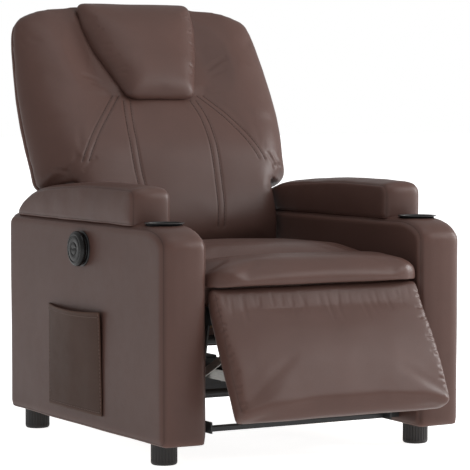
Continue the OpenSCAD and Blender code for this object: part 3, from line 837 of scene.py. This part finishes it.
def build_pads():
    outline = pad_outline()
    half = ARM_HALF - 0.002
    edge = lowered(outline, ARM_TOP + 0.002, 0.015)
    pad = side_form("arm_pad_right_leather", outline, ARM_MID, half, 0.020, 2.7, (0.44, ARM_TOP + 0.03),
                    0.005, 4, edge)
    seams = [seam_loop(outline, 0.007, ARM_MID + side * half * 0.92) for side in (-1, 1)]
    tree = surface_of(pad)
    seams = [nearest_on_surface(tree, dense(s, 0.004))[0] for s in seams]
    shrunk(pad, 0.002)
    inflate(pad, seams, 0.006, 3.0, lambda co: co[:, 2] < ARM_TOP + 0.008)
    roughened(pad, 0.07, 0.0012)
    for loop in seams:
        press(pad, dense(loop), 0.007, 0.0012)
    paint(pad, leather)
    other = mirrored(pad, "arm_pad_left_leather")
    for obj, side in ((pad, "right"), (other, "left")):
        soft_piece(obj, leather, "base", [f"arm_pad_{side}"])
        # Painted shade along the pad's seams
        add_seam_shade(obj, f"pad_seam_shade_{side}", [on_side(loop, side) for loop in seams], "base", 0.0006)


build_pads()


# ---------- Seat ----------

SEAT_HALF = 0.279
ROLL_VALLEY_Y = 0.150


def seat_outline():
    points = [(0.078, 0.3535), (0.545, 0.3535)] + arc((0.528, 0.440), (0.030, 0.024), 0, 80, 5)
    points += [(0.430, 0.474), (0.250, 0.476), (0.195, 0.471), (0.165, 0.459)]
    points += [(ROLL_VALLEY_Y, 0.447), (0.135, 0.454), (0.110, 0.462), (0.060, 0.460)]
    points += arc((0.020, 0.420), (0.047, 0.038), 76, 185, 10)
    hinge = FOOT_PIVOT
    points += [(-0.0255, 0.4020), (-0.019, 0.3945), (hinge[0], 0.3940), (0.044, 0.392), (0.060, 0.375)]
    return resampled(points, 0.010)


def seat_half(points):
    """Half-width of the seat: its front roll's corners turn back in plan."""
    return SEAT_HALF - 0.012 * np.clip((0.030 - points[:, 0]) / 0.052, 0, 1) ** 2


END_ROUND = 0.050
PAD_SWEPT_R = 0.0208


def end_drop(distance, reach):
    """A quarter-round: `reach` at the outline falling to 0 at `reach` inside it."""
    t = 1 - np.clip(distance / reach, 0, 1)
    return reach * (1 - np.sqrt(1 - t ** 2))


def build_seat():
    outline = seat_outline()
    seat = lofted("seat_cushion_leather", outline,
                  lambda p, d: end_drop(d, END_ROUND) - seat_half(p),
                  lambda p, d: seat_half(p) - end_drop(d, END_ROUND),
                  lambda a, b, c: np.stack([c, a, b], -1), (0.30, 0.41), edge=lowered(outline, 0.4160, 0.045))
    turned_out(seat)
    remeshed(seat, 0.006, 8)
    shrunk(seat, 0.002)
    co = coordinates(seat) - ORIGIN
    crown = np.clip((co[:, 2] - 0.425) / 0.03, 0, 1)
    rear = np.clip((co[:, 1] - ROLL_VALLEY_Y) / 0.05, 0, 1)
    co[:, 2] -= crown * (np.abs(co[:, 0]) / SEAT_HALF) ** 2.6 * (0.008 + 0.010 * rear)
    set_coordinates(seat, co + ORIGIN)
    valley = chair([(x, ROLL_VALLEY_Y - 0.012 * (x / SEAT_HALF) ** 2, 0.455)
                    for x in np.linspace(-0.27, 0.27, 60)])
    tree = surface_of(seat)
    valley = on_surface(tree, valley, (0, 0, -1))[0]
    inflate(seat, [valley], 0.006, 2.5, lambda p: p[:, 2] < 0.405, settle=10)
    tree = surface_of(seat)
    valley = dense(on_surface(tree, valley, (0, 0, -1))[0])
    press(seat, valley, 0.022, 0.0045)
    press(seat, valley, 0.006, 0.0025)
    press_under_hinge(seat)
    roughened(seat, 0.13, 0.0022)
    soft_piece(seat, leather_seat, "base", ["seat_cushion"])


def press_under_hinge(seat):
    """The seat's front underside stays above the footrest pad's sweep."""
    co = coordinates(seat) - ORIGIN
    low = (co[:, 2] < 0.43) & (co[:, 1] < 0.05)
    floor_z = FOOT_PIVOT[1] + PAD_SWEPT_R + np.clip(FOOT_PIVOT[0] - co[:, 1] - 0.02, 0, 0.05) * 0.10
    co[:, 2] = np.where(low & (co[:, 1] < FOOT_PIVOT[0] + 0.022), np.maximum(co[:, 2], floor_z), co[:, 2])
    set_coordinates(seat, co + ORIGIN)


build_seat()


# ---------- Footrest ----------

FOOT_LENGTH = 0.298
FOOT_HALF = 0.2755
PAD_TOP_R = 0.020
PAD_BACK = 0.0278
FOOT_OPEN = math.radians(63)
# Where the side plate's front bar starts, as (Y, Z)
PLATE_BEND = (0.080, 0.322)
BAR_HALF = 0.011
# A little over the radius of the side plate's disc about the hinge
SLOT_R = 0.0132


def footrest_outline():
    """Side view of the padded footrest as (depth behind the hinge line, distance down the footrest)."""
    cap = [(PAD_TOP_R * math.cos(t), PAD_TOP_R * math.sin(t)) for t in np.radians(np.linspace(0, -180, 13))]
    foot = FOOT_LENGTH - 0.019
    front = []
    for share in [i / 16 for i in range(1, 16)]:
        below = max(0, share - 0.16)
        belly = 0.008 * math.sin(math.pi * below / 0.84) ** 1.5
        front.append((-PAD_TOP_R - 0.013 * below - belly, foot * share))
    corner = [(-0.012 - 0.019 * math.cos(t), foot + 0.019 * math.sin(t))
              for t in np.radians(np.linspace(0, 90, 7))]
    rear = [(PAD_BACK - 0.005, FOOT_LENGTH - 0.002), (PAD_BACK, FOOT_LENGTH - 0.008), (PAD_BACK, 0.045)]
    return resampled(cap + front + corner + rear, 0.007)


def foot_prism(name, corners, x0, x1):
    yz = foot_to_chair(np.array([(0, b, u) for b, u in corners]))[:, 1:]
    return prism(name, [tuple(p) for p in yz], x0, x1)


def foot_rect(b0, b1, u0, u1):
    return [(b0, u0), (b1, u0), (b1, u1), (b0, u1)]


def back_or_top_of_pad(points):
    local = chair_to_foot(points)
    return (local[:, 1] > 0.006) | (local[:, 2] < 0.045)


def bar_sweep():
    """Room in the footrest's side view for the side plate's front bar, from rest to the full opening."""
    bar = chair_to_foot(np.array([0, *PLATE_BEND]))
    turn = math.atan2(bar[1], bar[2]) + FOOT_OPEN
    along = np.array([math.sin(turn), math.cos(turn)])
    beside = np.array([math.cos(turn), -math.sin(turn)])
    first = beside * (BAR_HALF + 0.0012)
    second = first + along * 0.030
    return [tuple(first), tuple(second), (0.060, second[1]), (0.060, 0.0), (0.0, 0.0)]


def clear_of_seat(pad):
    """The footrest's top is kept to its hinge radius, so that it turns under the seat's front lip."""
    co = coordinates(pad) - ORIGIN
    local = chair_to_foot(co)
    most = PAD_TOP_R - 0.0003
    above = local[:, 2] < 0
    radius = np.maximum(np.hypot(local[:, 1], local[:, 2]), 1e-6)
    local[:, 1:] *= np.where(above, np.minimum(1, most / radius), 1)[:, None]
    limit = -most - 0.30 * np.clip(local[:, 2] - 0.043, 0, 1)
    local[:, 1] = np.where(above, local[:, 1], np.maximum(local[:, 1], limit))
    set_coordinates(pad, foot_to_chair(local) + ORIGIN)


def build_footrest():
    pad = lofted("footrest_pad_leather", footrest_outline(),
                 lambda p, d: end_drop(d, 0.013) - FOOT_HALF, lambda p, d: FOOT_HALF - end_drop(d, 0.013),
                 lambda a, b, c: foot_to_chair(np.stack([c, a, b], -1)), (0.0, 0.14))
    turned_out(pad)
    remeshed(pad, 0.0055, 4)
    shrunk(pad, 0.0015)
    local = lambda x, b, u: chair(foot_to_chair(np.stack(np.broadcast_arrays(x, b, u), -1)))
    u_line = np.linspace(0.0, FOOT_LENGTH - 0.02, 40)
    seams = [local(side * FOOT_HALF * 0.965, -0.018, u_line) for side in (-1, 1)]
    tree = surface_of(pad)
    seams = [nearest_on_surface(tree, s)[0] for s in seams]
    inflate(pad, seams, 0.006, 2.5, back_or_top_of_pad, settle=16)
    tree = surface_of(pad)
    forward = foot_to_chair(np.array([0, 1.0, 0])) - foot_to_chair(np.zeros(3))
    for k in range(22):
        x = -0.245 + 0.49 * (k + random.uniform(-0.4, 0.4)) / 21
        length = random.uniform(0.025, 0.085)
        drift = random.uniform(-0.008, 0.008)
        start = random.uniform(0.0, 0.010)
        line = local(np.linspace(x, x + drift, 12), -0.02, np.linspace(start, start + length, 12))
        line = on_surface(tree, line, forward)[0]
        press(pad, dense(line), random.uniform(0.007, 0.011), random.uniform(0.0004, 0.0009), taper=True)
    for side in (-1, 1):
        for k in range(15):
            u = 0.02 + 0.25 * (k + random.uniform(-0.3, 0.3)) / 14
            reach = random.uniform(0.014, 0.034) if side > 0 else random.uniform(0.010, 0.020)
            line = local(side * np.linspace(FOOT_HALF - 0.003, FOOT_HALF - reach, 10), -0.02,
                         u + np.linspace(0, random.uniform(-0.008, 0.008), 10))
            line = on_surface(tree, line, forward)[0]
            if len(line) > 2:
                press(pad, dense(line), 0.0065, 0.0013, taper=True)
    roughened(pad, 0.10, 0.0014)
    clear_of_seat(pad)
    turns = np.linspace(-1.0, 1.9, 15)
    room = [(0.060, -SLOT_R * math.cos(turns[0]))]
    room += [(-SLOT_R * math.sin(t), -SLOT_R * math.cos(t)) for t in turns]
    room += [(0.0265, 0.064), (0.060, 0.064)]
    cutters = [foot_prism("slot", shape, *sorted((side * 0.2335, side * 0.2545)))
               for side in (-1, 1) for shape in (room, bar_sweep())]
    cutters.append(foot_prism("board_room", foot_rect(0.0152, 0.060, 0.0395, 0.2705), -0.2256, 0.2256))
    cut(pad, *cutters)
    soft_piece(pad, leather_seat, "footrest", ["footrest_pad"])
    # Painted shade along the footrest's seams
    add_seam_shade(pad, "footrest_seams", [dense(seam) for seam in seams], "footrest", 0.0006)


def chair_to_foot(points):
    p = np.asarray(points, float)
    y, z = p[..., 1] - FOOT_PIVOT[0], p[..., 2] - FOOT_PIVOT[1]
    return np.stack([p[..., 0],
                     y * math.cos(FOOT_TILT) - z * math.sin(FOOT_TILT),
                     -y * math.sin(FOOT_TILT) - z * math.cos(FOOT_TILT)], -1)


build_footrest()


# ---------- Back ----------

WING_HALF = 0.357
SOFT_HALF = 0.272
LOWER_U = 0.115
WING_U = 0.279
BACK_TOP = 0.770
BACK_REAR = 0.018

# (height up the lean, depth) of the back's front at its middle
BACK_FRONT = np.array([(0.115, -0.060), (0.150, -0.080), (0.210, -0.090), (0.300, -0.088),
                       (0.370, -0.092), (0.450, -0.082), (0.500, -0.064), (0.550, -0.047),
                       (0.600, -0.032), (0.650, -0.018), (0.710, -0.010), (0.770, -0.004)])

BACK_STEPS = np.linspace(BACK_FRONT[0, 0], BACK_FRONT[-1, 0], 200)
BACK_DEPTHS = np.interp(BACK_STEPS, BACK_FRONT[:, 0], BACK_FRONT[:, 1])
SOFTEN = np.exp(-np.linspace(-2, 2, 31) ** 2)
BACK_DEPTHS = np.convolve(np.pad(BACK_DEPTHS, 15, "edge"), SOFTEN / SOFTEN.sum(), "valid")


def back_middle(u):
    """Depth of the back's front surface at its middle, at height u up the lean."""
    return np.interp(u, BACK_STEPS, BACK_DEPTHS)


def back_outline():
    half = [(0.000, 0.786), (0.100, 0.786), (0.168, 0.783), (0.225, 0.777), (0.262, 0.771)]
    half += [(0.300, 0.758), (0.322, 0.747), (0.337, 0.730), (0.345, 0.704), (0.351, 0.664)]
    half += [(0.356, 0.605), (0.361, 0.530), (0.363, 0.460), (0.361, 0.400), (0.356, 0.345)]
    half += arc((WING_HALF - 0.034, WING_U + 0.032), (0.032, 0.032), 0, -90, 6)
    half += [(SOFT_HALF, WING_U), (SOFT_HALF, LOWER_U)]
    return resampled([(-x, u) for x, u in half[:0:-1]] + half, 0.012)


def back_depth(points, distance):
    """The back's front surface: S-curved up the lean, full wings, rounded to its side edges."""
    x, u = points[:, 0], points[:, 1]
    middle = back_middle(u)
    wing = np.clip((np.abs(x) - 0.16) / 0.10, 0, 1)
    upper = np.clip((u - 0.44) / 0.16, 0, 1)
    fuller = middle - 0.030 * wing * upper
    return fuller * swell(distance, 0.115, 1.9)


def back_line(points, spread=0.0):
    """A line on the back's front face, from (x, u) points, in the frame."""
    pts = smooth_path(np.asarray(points, float))
    pts = pts + np.array([spread, 0])
    return chair(back_to_chair(np.stack([pts[:, 0], np.full(len(pts), -0.2), pts[:, 1]], -1)))


BACK_FORWARD = back_to_chair(np.array([0, 1.0, 0])) - back_to_chair(np.zeros(3))
INNER_SEAM = [(0.094, 0.495), (0.108, 0.440), (0.113, 0.370), (0.112, 0.300), (0.106, 0.230), (0.098, 0.150)]
DIAGONAL_SEAM = [(0.120, 0.510), (0.160, 0.462), (0.205, 0.405), (0.238, 0.352), (0.250, 0.325)]


def build_back():
    outline = back_outline()
    edge = [(x, u - 0.06) if u < LOWER_U + 0.001 else
            (math.copysign(max(abs(x), 0.332), x), u) if u < WING_U + 0.0005 else (x, u) for x, u in outline]
    back = lofted("back_cushion_leather", outline, back_depth, lambda p, d: np.full(len(p), BACK_REAR),
                  lambda a, b, c: back_to_chair(np.stack([a, c, b], -1)), (0.0, 0.46), rings=34, edge=edge)
    turned_out(back)
    remeshed(back, 0.0065, 5)
    shrunk(back, 0.003)
    tree = surface_of(back)
    seams = []
    for side in (-1, 1):
        for line in (INNER_SEAM, DIAGONAL_SEAM):
            for spread in (-0.009, 0.009):
                path = back_line([(side * x, u) for x, u in line], spread)
                seams.append(on_surface(tree, path, BACK_FORWARD)[0])
    inflate(back, seams, 0.007, 3.0, lambda p: chair_to_back(p)[:, 1] > 0.004)
    roughened(back, 0.15, 0.0030)
    tree = surface_of(back)
    wrinkles = [((-0.205, 0.566), (-0.150, 0.548), 0.012, 0.0017),
                ((-0.190, 0.545), (-0.150, 0.535), 0.010, 0.0011),
                ((0.160, 0.585), (0.228, 0.622), 0.012, 0.0016),
                ((0.165, 0.566), (0.215, 0.583), 0.010, 0.0009),
                ((0.266, 0.345), (0.296, 0.306), 0.010, 0.0022),
                ((0.286, 0.348), (0.316, 0.303), 0.009, 0.0016),
                ((0.282, 0.306), (0.326, 0.316), 0.009, 0.0018),
                ((-0.262, 0.340), (-0.300, 0.303), 0.010, 0.0018),
                ((-0.220, 0.335), (-0.262, 0.300), 0.010, 0.0014),
                ((-0.292, 0.300), (-0.330, 0.316), 0.009, 0.0014)]
    for a, b, width, depth in wrinkles:
        bowed = ((a[0] + b[0]) / 2, (a[1] + b[1]) / 2 + 0.004)
        line = on_surface(tree, back_line([a, bowed, b]), BACK_FORWARD)[0]
        press(back, dense(line), width, depth, taper=True)
    tree = surface_of(back)
    threads = []
    lines = [dense(on_surface(tree, s, BACK_FORWARD)[0]) for s in seams]
    for line in lines:
        press(back, line, 0.0050, 0.0015)
    tree = surface_of(back)
    # Besides the stitches, the seam lines get dark tubes of painted shade in their creases
    shade_paths = []
    for line in lines:
        points, faces = nearest_on_surface(tree, line)
        threads += stitch_paths(points, faces)
        shade_paths.append(points)
    soft_piece(back, leather, "back", ["back_cushion"])
    for obj in (tubes_object("back_stitches", threads, 0.0006, thread, 5),
                tubes_object("back_seam_folds", shade_paths, 0.0010, painted_seam_shade, 5)):
        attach(obj, "back")


build_back()


def build_back_panel():
    """The rear cover: one flat panel with rounded edges and a straight skirt between the arms."""
    outline = [(x, u) for x, u in back_outline()
               if u > WING_U - 0.002 and abs(x) > SOFT_HALF + 0.001 or u > WING_U + 0.01]
    right = [(0.268, WING_U), (0.268, 0.120), (0.214, 0.090), (0.214, -0.140)]
    outline = inset(outline, 0.004)
    outline = resampled(np.concatenate([outline, right, [(-x, u) for x, u in right[::-1]]]), 0.012)
    rear = 0.055
    front = BACK_REAR + 0.0008

    def low(points, distance):
        return np.full(len(points), front)

    def high(points, distance):
        return front + (rear - front) * swell(distance, 0.040, 2.0)

    panel = lofted("back_panel_leather", outline, low, high,
                   lambda a, b, c: back_to_chair(np.stack([a, c, b], -1)), (0.0, 0.30), rings=34)
    turned_out(panel)
    remeshed(panel, 0.006, 4)
    roughened(panel, 0.15, 0.0015)
    ahead, behind = BACK_REAR - 0.01, rear - 0.009
    room = [(ahead, -0.150), (behind, -0.150), (behind, 0.700), (ahead, 0.700)]
    yz = back_to_chair(np.array([(0, b, u) for b, u in room]))[:, 1:]
    cut(panel, prism("room", [tuple(p) for p in yz], -0.262, 0.262))
    soft_piece(panel, leather, "back", ["back_panel"])


build_back_panel()


# ---------- Head pillow ----------

def pillow_outline():
    half = arc((0.142, BACK_TOP - 0.006), (0.026, 0.024), 90, 0, 6)
    half += [(0.163, 0.700), (0.148, 0.640), (0.128, 0.580)]
    half += arc((0.074, 0.525), (0.034, 0.034), -6, -90, 7)
    return resampled([(-x, u) for x, u in half[::-1]] + half, 0.009)


def build_pillow():
    outline = pillow_outline()

    def rear(points, distance):
        return back_middle(points[:, 1]) + 0.004

    def front(points, distance):
        thick = np.interp(points[:, 1], [0.49, 0.53, 0.60, 0.68, 0.79], [0.040, 0.050, 0.062, 0.060, 0.046])
        return rear(points, distance) - thick * swell(distance, 0.100, 2.7)

    pillow = lofted("head_pillow_leather", outline, front, rear,
                    lambda a, b, c: back_to_chair(np.stack([a, c, b], -1)), (0.0, 0.645))
    turned_out(pillow)
    remeshed(pillow, 0.005, 26)
    shrunk(pillow, 0.001)
    inflate(pillow, [], 0.007, 4.0, edge_of_pillow, settle=22)
    tree = surface_of(pillow)
    for k in range(9):
        u = 0.56 + 0.19 * k / 8 + random.uniform(-0.006, 0.006)
        edge = np.interp(u, [0.53, 0.59, 0.66, 0.76], [0.104, 0.126, 0.143, 0.150])
        for side in (-1, 1):
            reach = random.uniform(0.018, 0.036)
            inner = (side * (edge - reach), u + random.uniform(-0.012, 0.012))
            line = back_line([(side * (edge - 0.004), u), inner])
            line = on_surface(tree, line, BACK_FORWARD)[0]
            if len(line) > 2:
                press(pillow, dense(line), 0.007, 0.0013 if side > 0 else 0.0006, taper=True)
    roughened(pillow, 0.09, 0.0018)
    soft_piece(pillow, leather, "back", ["head_pillow"])


def edge_of_pillow(points):
    local = chair_to_back(points)
    base = back_middle(local[:, 2])
    return local[:, 1] > base - 0.006


build_pillow()


# ---------- Side pocket ----------

POCKET_Y = 0.438
POCKET_HALF = 0.1435
POCKET_LOW = 0.0885
POCKET_HIGH = 0.3285
HEM = 0.0125


def pocket_offset(s, t):
    """How far the pocket stands out of the arm's side: s across it from -1 to 1, t up it from 0 to 1."""
    mouth = np.clip(t, 0, 1) ** 1.3
    return 0.0035 + (0.0165 * (1 - np.abs(s + 0.12) ** 2.4 / 1.32)).clip(0) * (0.30 + 0.70 * mouth)


def build_pocket():
    across = np.linspace(-1, 1, 73)
    upward = np.linspace(0, 1, 61)
    s, t = np.meshgrid(across, upward)
    sag = 0.006 * (1 - s ** 2) * t ** 6
    out = pocket_offset(s, t)
    out = out + 0.0005 * np.sin(7 * s + 2.0 * t) * (1 - s ** 2)
    band = (t > 1 - HEM / (POCKET_HIGH - POCKET_LOW))
    out = out + 0.0010 * band
    x = -(ARM_OUT + out)
    y = POCKET_Y + s * POCKET_HALF
    z = POCKET_LOW + t * (POCKET_HIGH - POCKET_LOW) - sag
    n, m = s.shape
    points = np.stack([x, y, z], -1).reshape(-1, 3)
    faces = [(i * m + j, i * m + j + 1, (i + 1) * m + j + 1, (i + 1) * m + j)
             for i in range(n - 1) for j in range(m - 1)]
    pocket = mesh_object("side_pocket_leather", chair(points), [f[::-1] for f in faces])
    solid = pocket.modifiers.new("thickness", "SOLIDIFY")
    solid.thickness, solid.offset = 0.0024, -1
    apply_modifiers(pocket)
    paint(pocket, pocket_leather)
    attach(pocket, "base")
    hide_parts("side_pocket")
    tree = surface_of(pocket)
    height = POCKET_HIGH - POCKET_LOW
    hem_t = 1 - HEM / height
    lines = [[(a, hem_t) for a in np.linspace(-0.96, 0.96, 60)],
             [(-0.965, b) for b in np.linspace(0.02, 0.99, 60)],
             [(0.965, b) for b in np.linspace(0.02, 0.99, 60)],
             [(a, 0.03) for a in np.linspace(-0.96, 0.96, 60)]]
    threads = []
    for line in lines:
        path = [(-(ARM_OUT + 0.03), POCKET_Y + a * POCKET_HALF,
                 POCKET_LOW + b * height - 0.006 * (1 - a * a) * b ** 6) for a, b in line]
        points, faces_at = on_surface(tree, chair(path), (1, 0, 0))
        press(pocket, dense(points), 0.004, 0.0010)
        points, faces_at = on_surface(surface_of(pocket), chair(path), (1, 0, 0))
        threads += stitch_paths(points, faces_at)
    stitches = tubes_object("pocket_stitches", threads, 0.0006, thread, 5)
    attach(stitches, "base")


build_pocket()


# ---------- Feet and cup holders ----------

def turned(profile, count, ripple=None):
    """Points and faces of a lathe form about Z; ripple(angle, height) changes the radius."""
    points = []
    for r, z in profile:
        for k in range(count):
            turn = 2 * math.pi * k / count
            radius = r * (1 - (ripple(turn, z) if ripple and r > 0.001 else 0))
            points.append((radius * math.cos(turn), radius * math.sin(turn), z))
    faces = band_faces(len(profile), count)
    faces.append(tuple(range(count))[::-1])
    faces.append(tuple((len(profile) - 1) * count + k for k in range(count)))
    return np.array(points), faces


def build_feet():
    """Four round feet with vertical flutes above a plain rim."""
    flutes = 26
    top = ARM_BOTTOM + 0.003

    def ripple(turn, z):
        body = 1 if 0.008 < z < 0.046 else 0
        return body * 0.055 * (0.5 + 0.5 * math.cos(flutes * turn)) ** 3

    profile = [(0.022, 0.0), (0.0265, 0.0008), (0.029, 0.003), (0.030, 0.006), (0.030, 0.0079)]
    profile += [(0.030, 0.0095)] + [(0.030, z) for z in np.linspace(0.014, 0.044, 6)]
    profile += [(0.030, 0.0465), (0.030, top - 0.001), (0.029, top)]
    points, faces = turned(profile, flutes * 8, ripple)
    all_points, all_faces = [], []
    for side in (-1, 1):
        for y in FOOT_YS:
            base = sum(len(p) for p in all_points)
            all_points.append(points + np.array([side * ARM_MID, y, 0]))
            all_faces += [tuple(base + i for i in f) for f in faces]
    feet = mesh_object("feet_fluted", chair(np.concatenate(all_points)), all_faces, rubber)
    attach(feet, "base")
    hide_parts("feet")


def build_cup_holders():
    """Round wells with a soft lip, a step inside it and ribs on the floor."""
    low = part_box("cup_holder_right")[0].z
    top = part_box("cup_holder_right")[1].z
    profile = [(0.001, low), (0.0388, low), (0.0400, low + 0.002), (0.0402, ARM_TOP + 0.0008)]
    profile += [(0.0440, ARM_TOP + 0.0008), (0.0450, ARM_TOP + 0.0016)]
    profile += [(0.0448, top - 0.0006), (0.0438, top), (0.0405, top), (0.0390, top - 0.0008)]
    profile += [(0.0382, top - 0.003), (0.0380, top - 0.010), (0.0380, low + 0.008)]
    profile += [(0.0370, low + 0.0045), (0.0340, low + 0.0032), (0.0300, low + 0.0030)]
    profile += [(0.0290, low + 0.0040), (0.0270, low + 0.0040), (0.0260, low + 0.0030), (0.001, low + 0.0030)]
    points, faces = turned(profile, 72)
    for side, sign in (("left", -1), ("right", 1)):
        place = np.array([sign * ARM_MID, CUP_Y, 0])
        cup = mesh_object(f"cup_holder_{side}_detail", chair(points + place), faces, black_plastic)
        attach(cup, "base")
        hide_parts(f"cup_holder_{side}")


build_feet()
build_cup_holders()


# ---------- Control pod ----------

def about_pod(points):
    """(radius part a, radius part b, reach out of the arm's side) to chair coordinates."""
    low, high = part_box("switch_housing")
    y, z = (low.y + high.y) / 2 - FRONT_Y, (low.z + high.z) / 2
    p = np.asarray(points, float)
    return np.stack([-(ARM_OUT + p[:, 2]), y + p[:, 0], z + p[:, 1]], -1)


def bar_between(width, height, low, high, bevel):
    """Points and faces of a bevelled bar across the well, between the two buttons."""
    a, b = width / 2, height / 2
    rings = [(a, b, low), (a, b, high - bevel), (a - bevel, b - bevel, high)]
    points = [(sa * x, sb * y, z) for x, y, z in rings for sa, sb in ((-1, -1), (1, -1), (1, 1), (-1, 1))]
    faces = [(3, 2, 1, 0), (8, 9, 10, 11)]
    faces += band_faces(3, 4)
    return points, faces


def build_pod():
    """A round flange, a domed housing with a ringed face, and two half-round buttons in its well."""
    upper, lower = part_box("button_open"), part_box("button_close")
    radius = (upper[1].y - upper[0].y) / 2
    gap = upper[0].z - lower[1].z
    face = ARM_OUT + 0.023
    flange = [(0.001, 0.0001), (0.0405, 0.0001), (0.0415, 0.0010), (0.0415, 0.0034), (0.0405, 0.0047),
              (0.0370, 0.0050), (0.0345, 0.0052), (0.0340, 0.0060), (0.0340, 0.0090), (0.001, 0.0090)]
    well = radius + 0.0006
    housing = [(0.001, 0.0092), (0.0385, 0.0092), (0.0403, 0.0100), (0.0411, 0.0118), (0.0413, 0.0145)]
    housing += [(0.0408, 0.0175), (0.0394, 0.0202), (0.0370, 0.0220), (0.0345, 0.0228), (0.0325, 0.0230)]
    housing += [(0.0315, 0.0226), (0.0310, 0.0216), (0.0298, 0.0216), (0.0293, 0.0226), (0.0283, 0.0230)]
    housing += [(well + 0.0012, 0.0230), (well + 0.0002, 0.0225)]
    housing += [(well, 0.0150), (0.001, 0.0145)]
    points, faces = turned(flange, 72)
    ring = mesh_object("pod_flange", chair(about_pod(points)), faces, black_plastic)
    points, faces = turned(housing, 96)
    bar, bar_faces = bar_between(2 * radius, gap - 0.0006, 0.0140, 0.0229, 0.0005)
    faces += [tuple(len(points) + i for i in f) for f in bar_faces]
    body = mesh_object("pod_housing", chair(about_pod(np.concatenate([points, bar]))), faces, pod_plastic)
    for obj, node in ((ring, "switch_flange"), (body, "switch_housing")):
        turned_out(obj)
        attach(obj, "base")
        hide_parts(node)
    for side, name, node in ((1, "open_button", "button_open"), (-1, "close_button", "button_close")):
        half = [(radius * math.cos(t), side * (gap / 2 + (radius - gap / 2) * math.sin(t)))
                for t in np.linspace(0, math.pi, 30)]
        outline = resampled(half, 0.0015)
        low = face - ARM_OUT - 0.0036
        button = lofted(name + "_cap", outline, lambda p, d: np.full(len(p), low),
                        lambda p, d: 0.0222 + 0.0018 * swell(d, 0.0050, 2.0),
                        lambda a, b, c: about_pod(np.stack([a, b, c], -1)),
                        (0, side * radius * 0.42), rings=12)
        turned_out(button)
        paint(button, pod_plastic)
        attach(button, name)
        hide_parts(node)


build_pod()
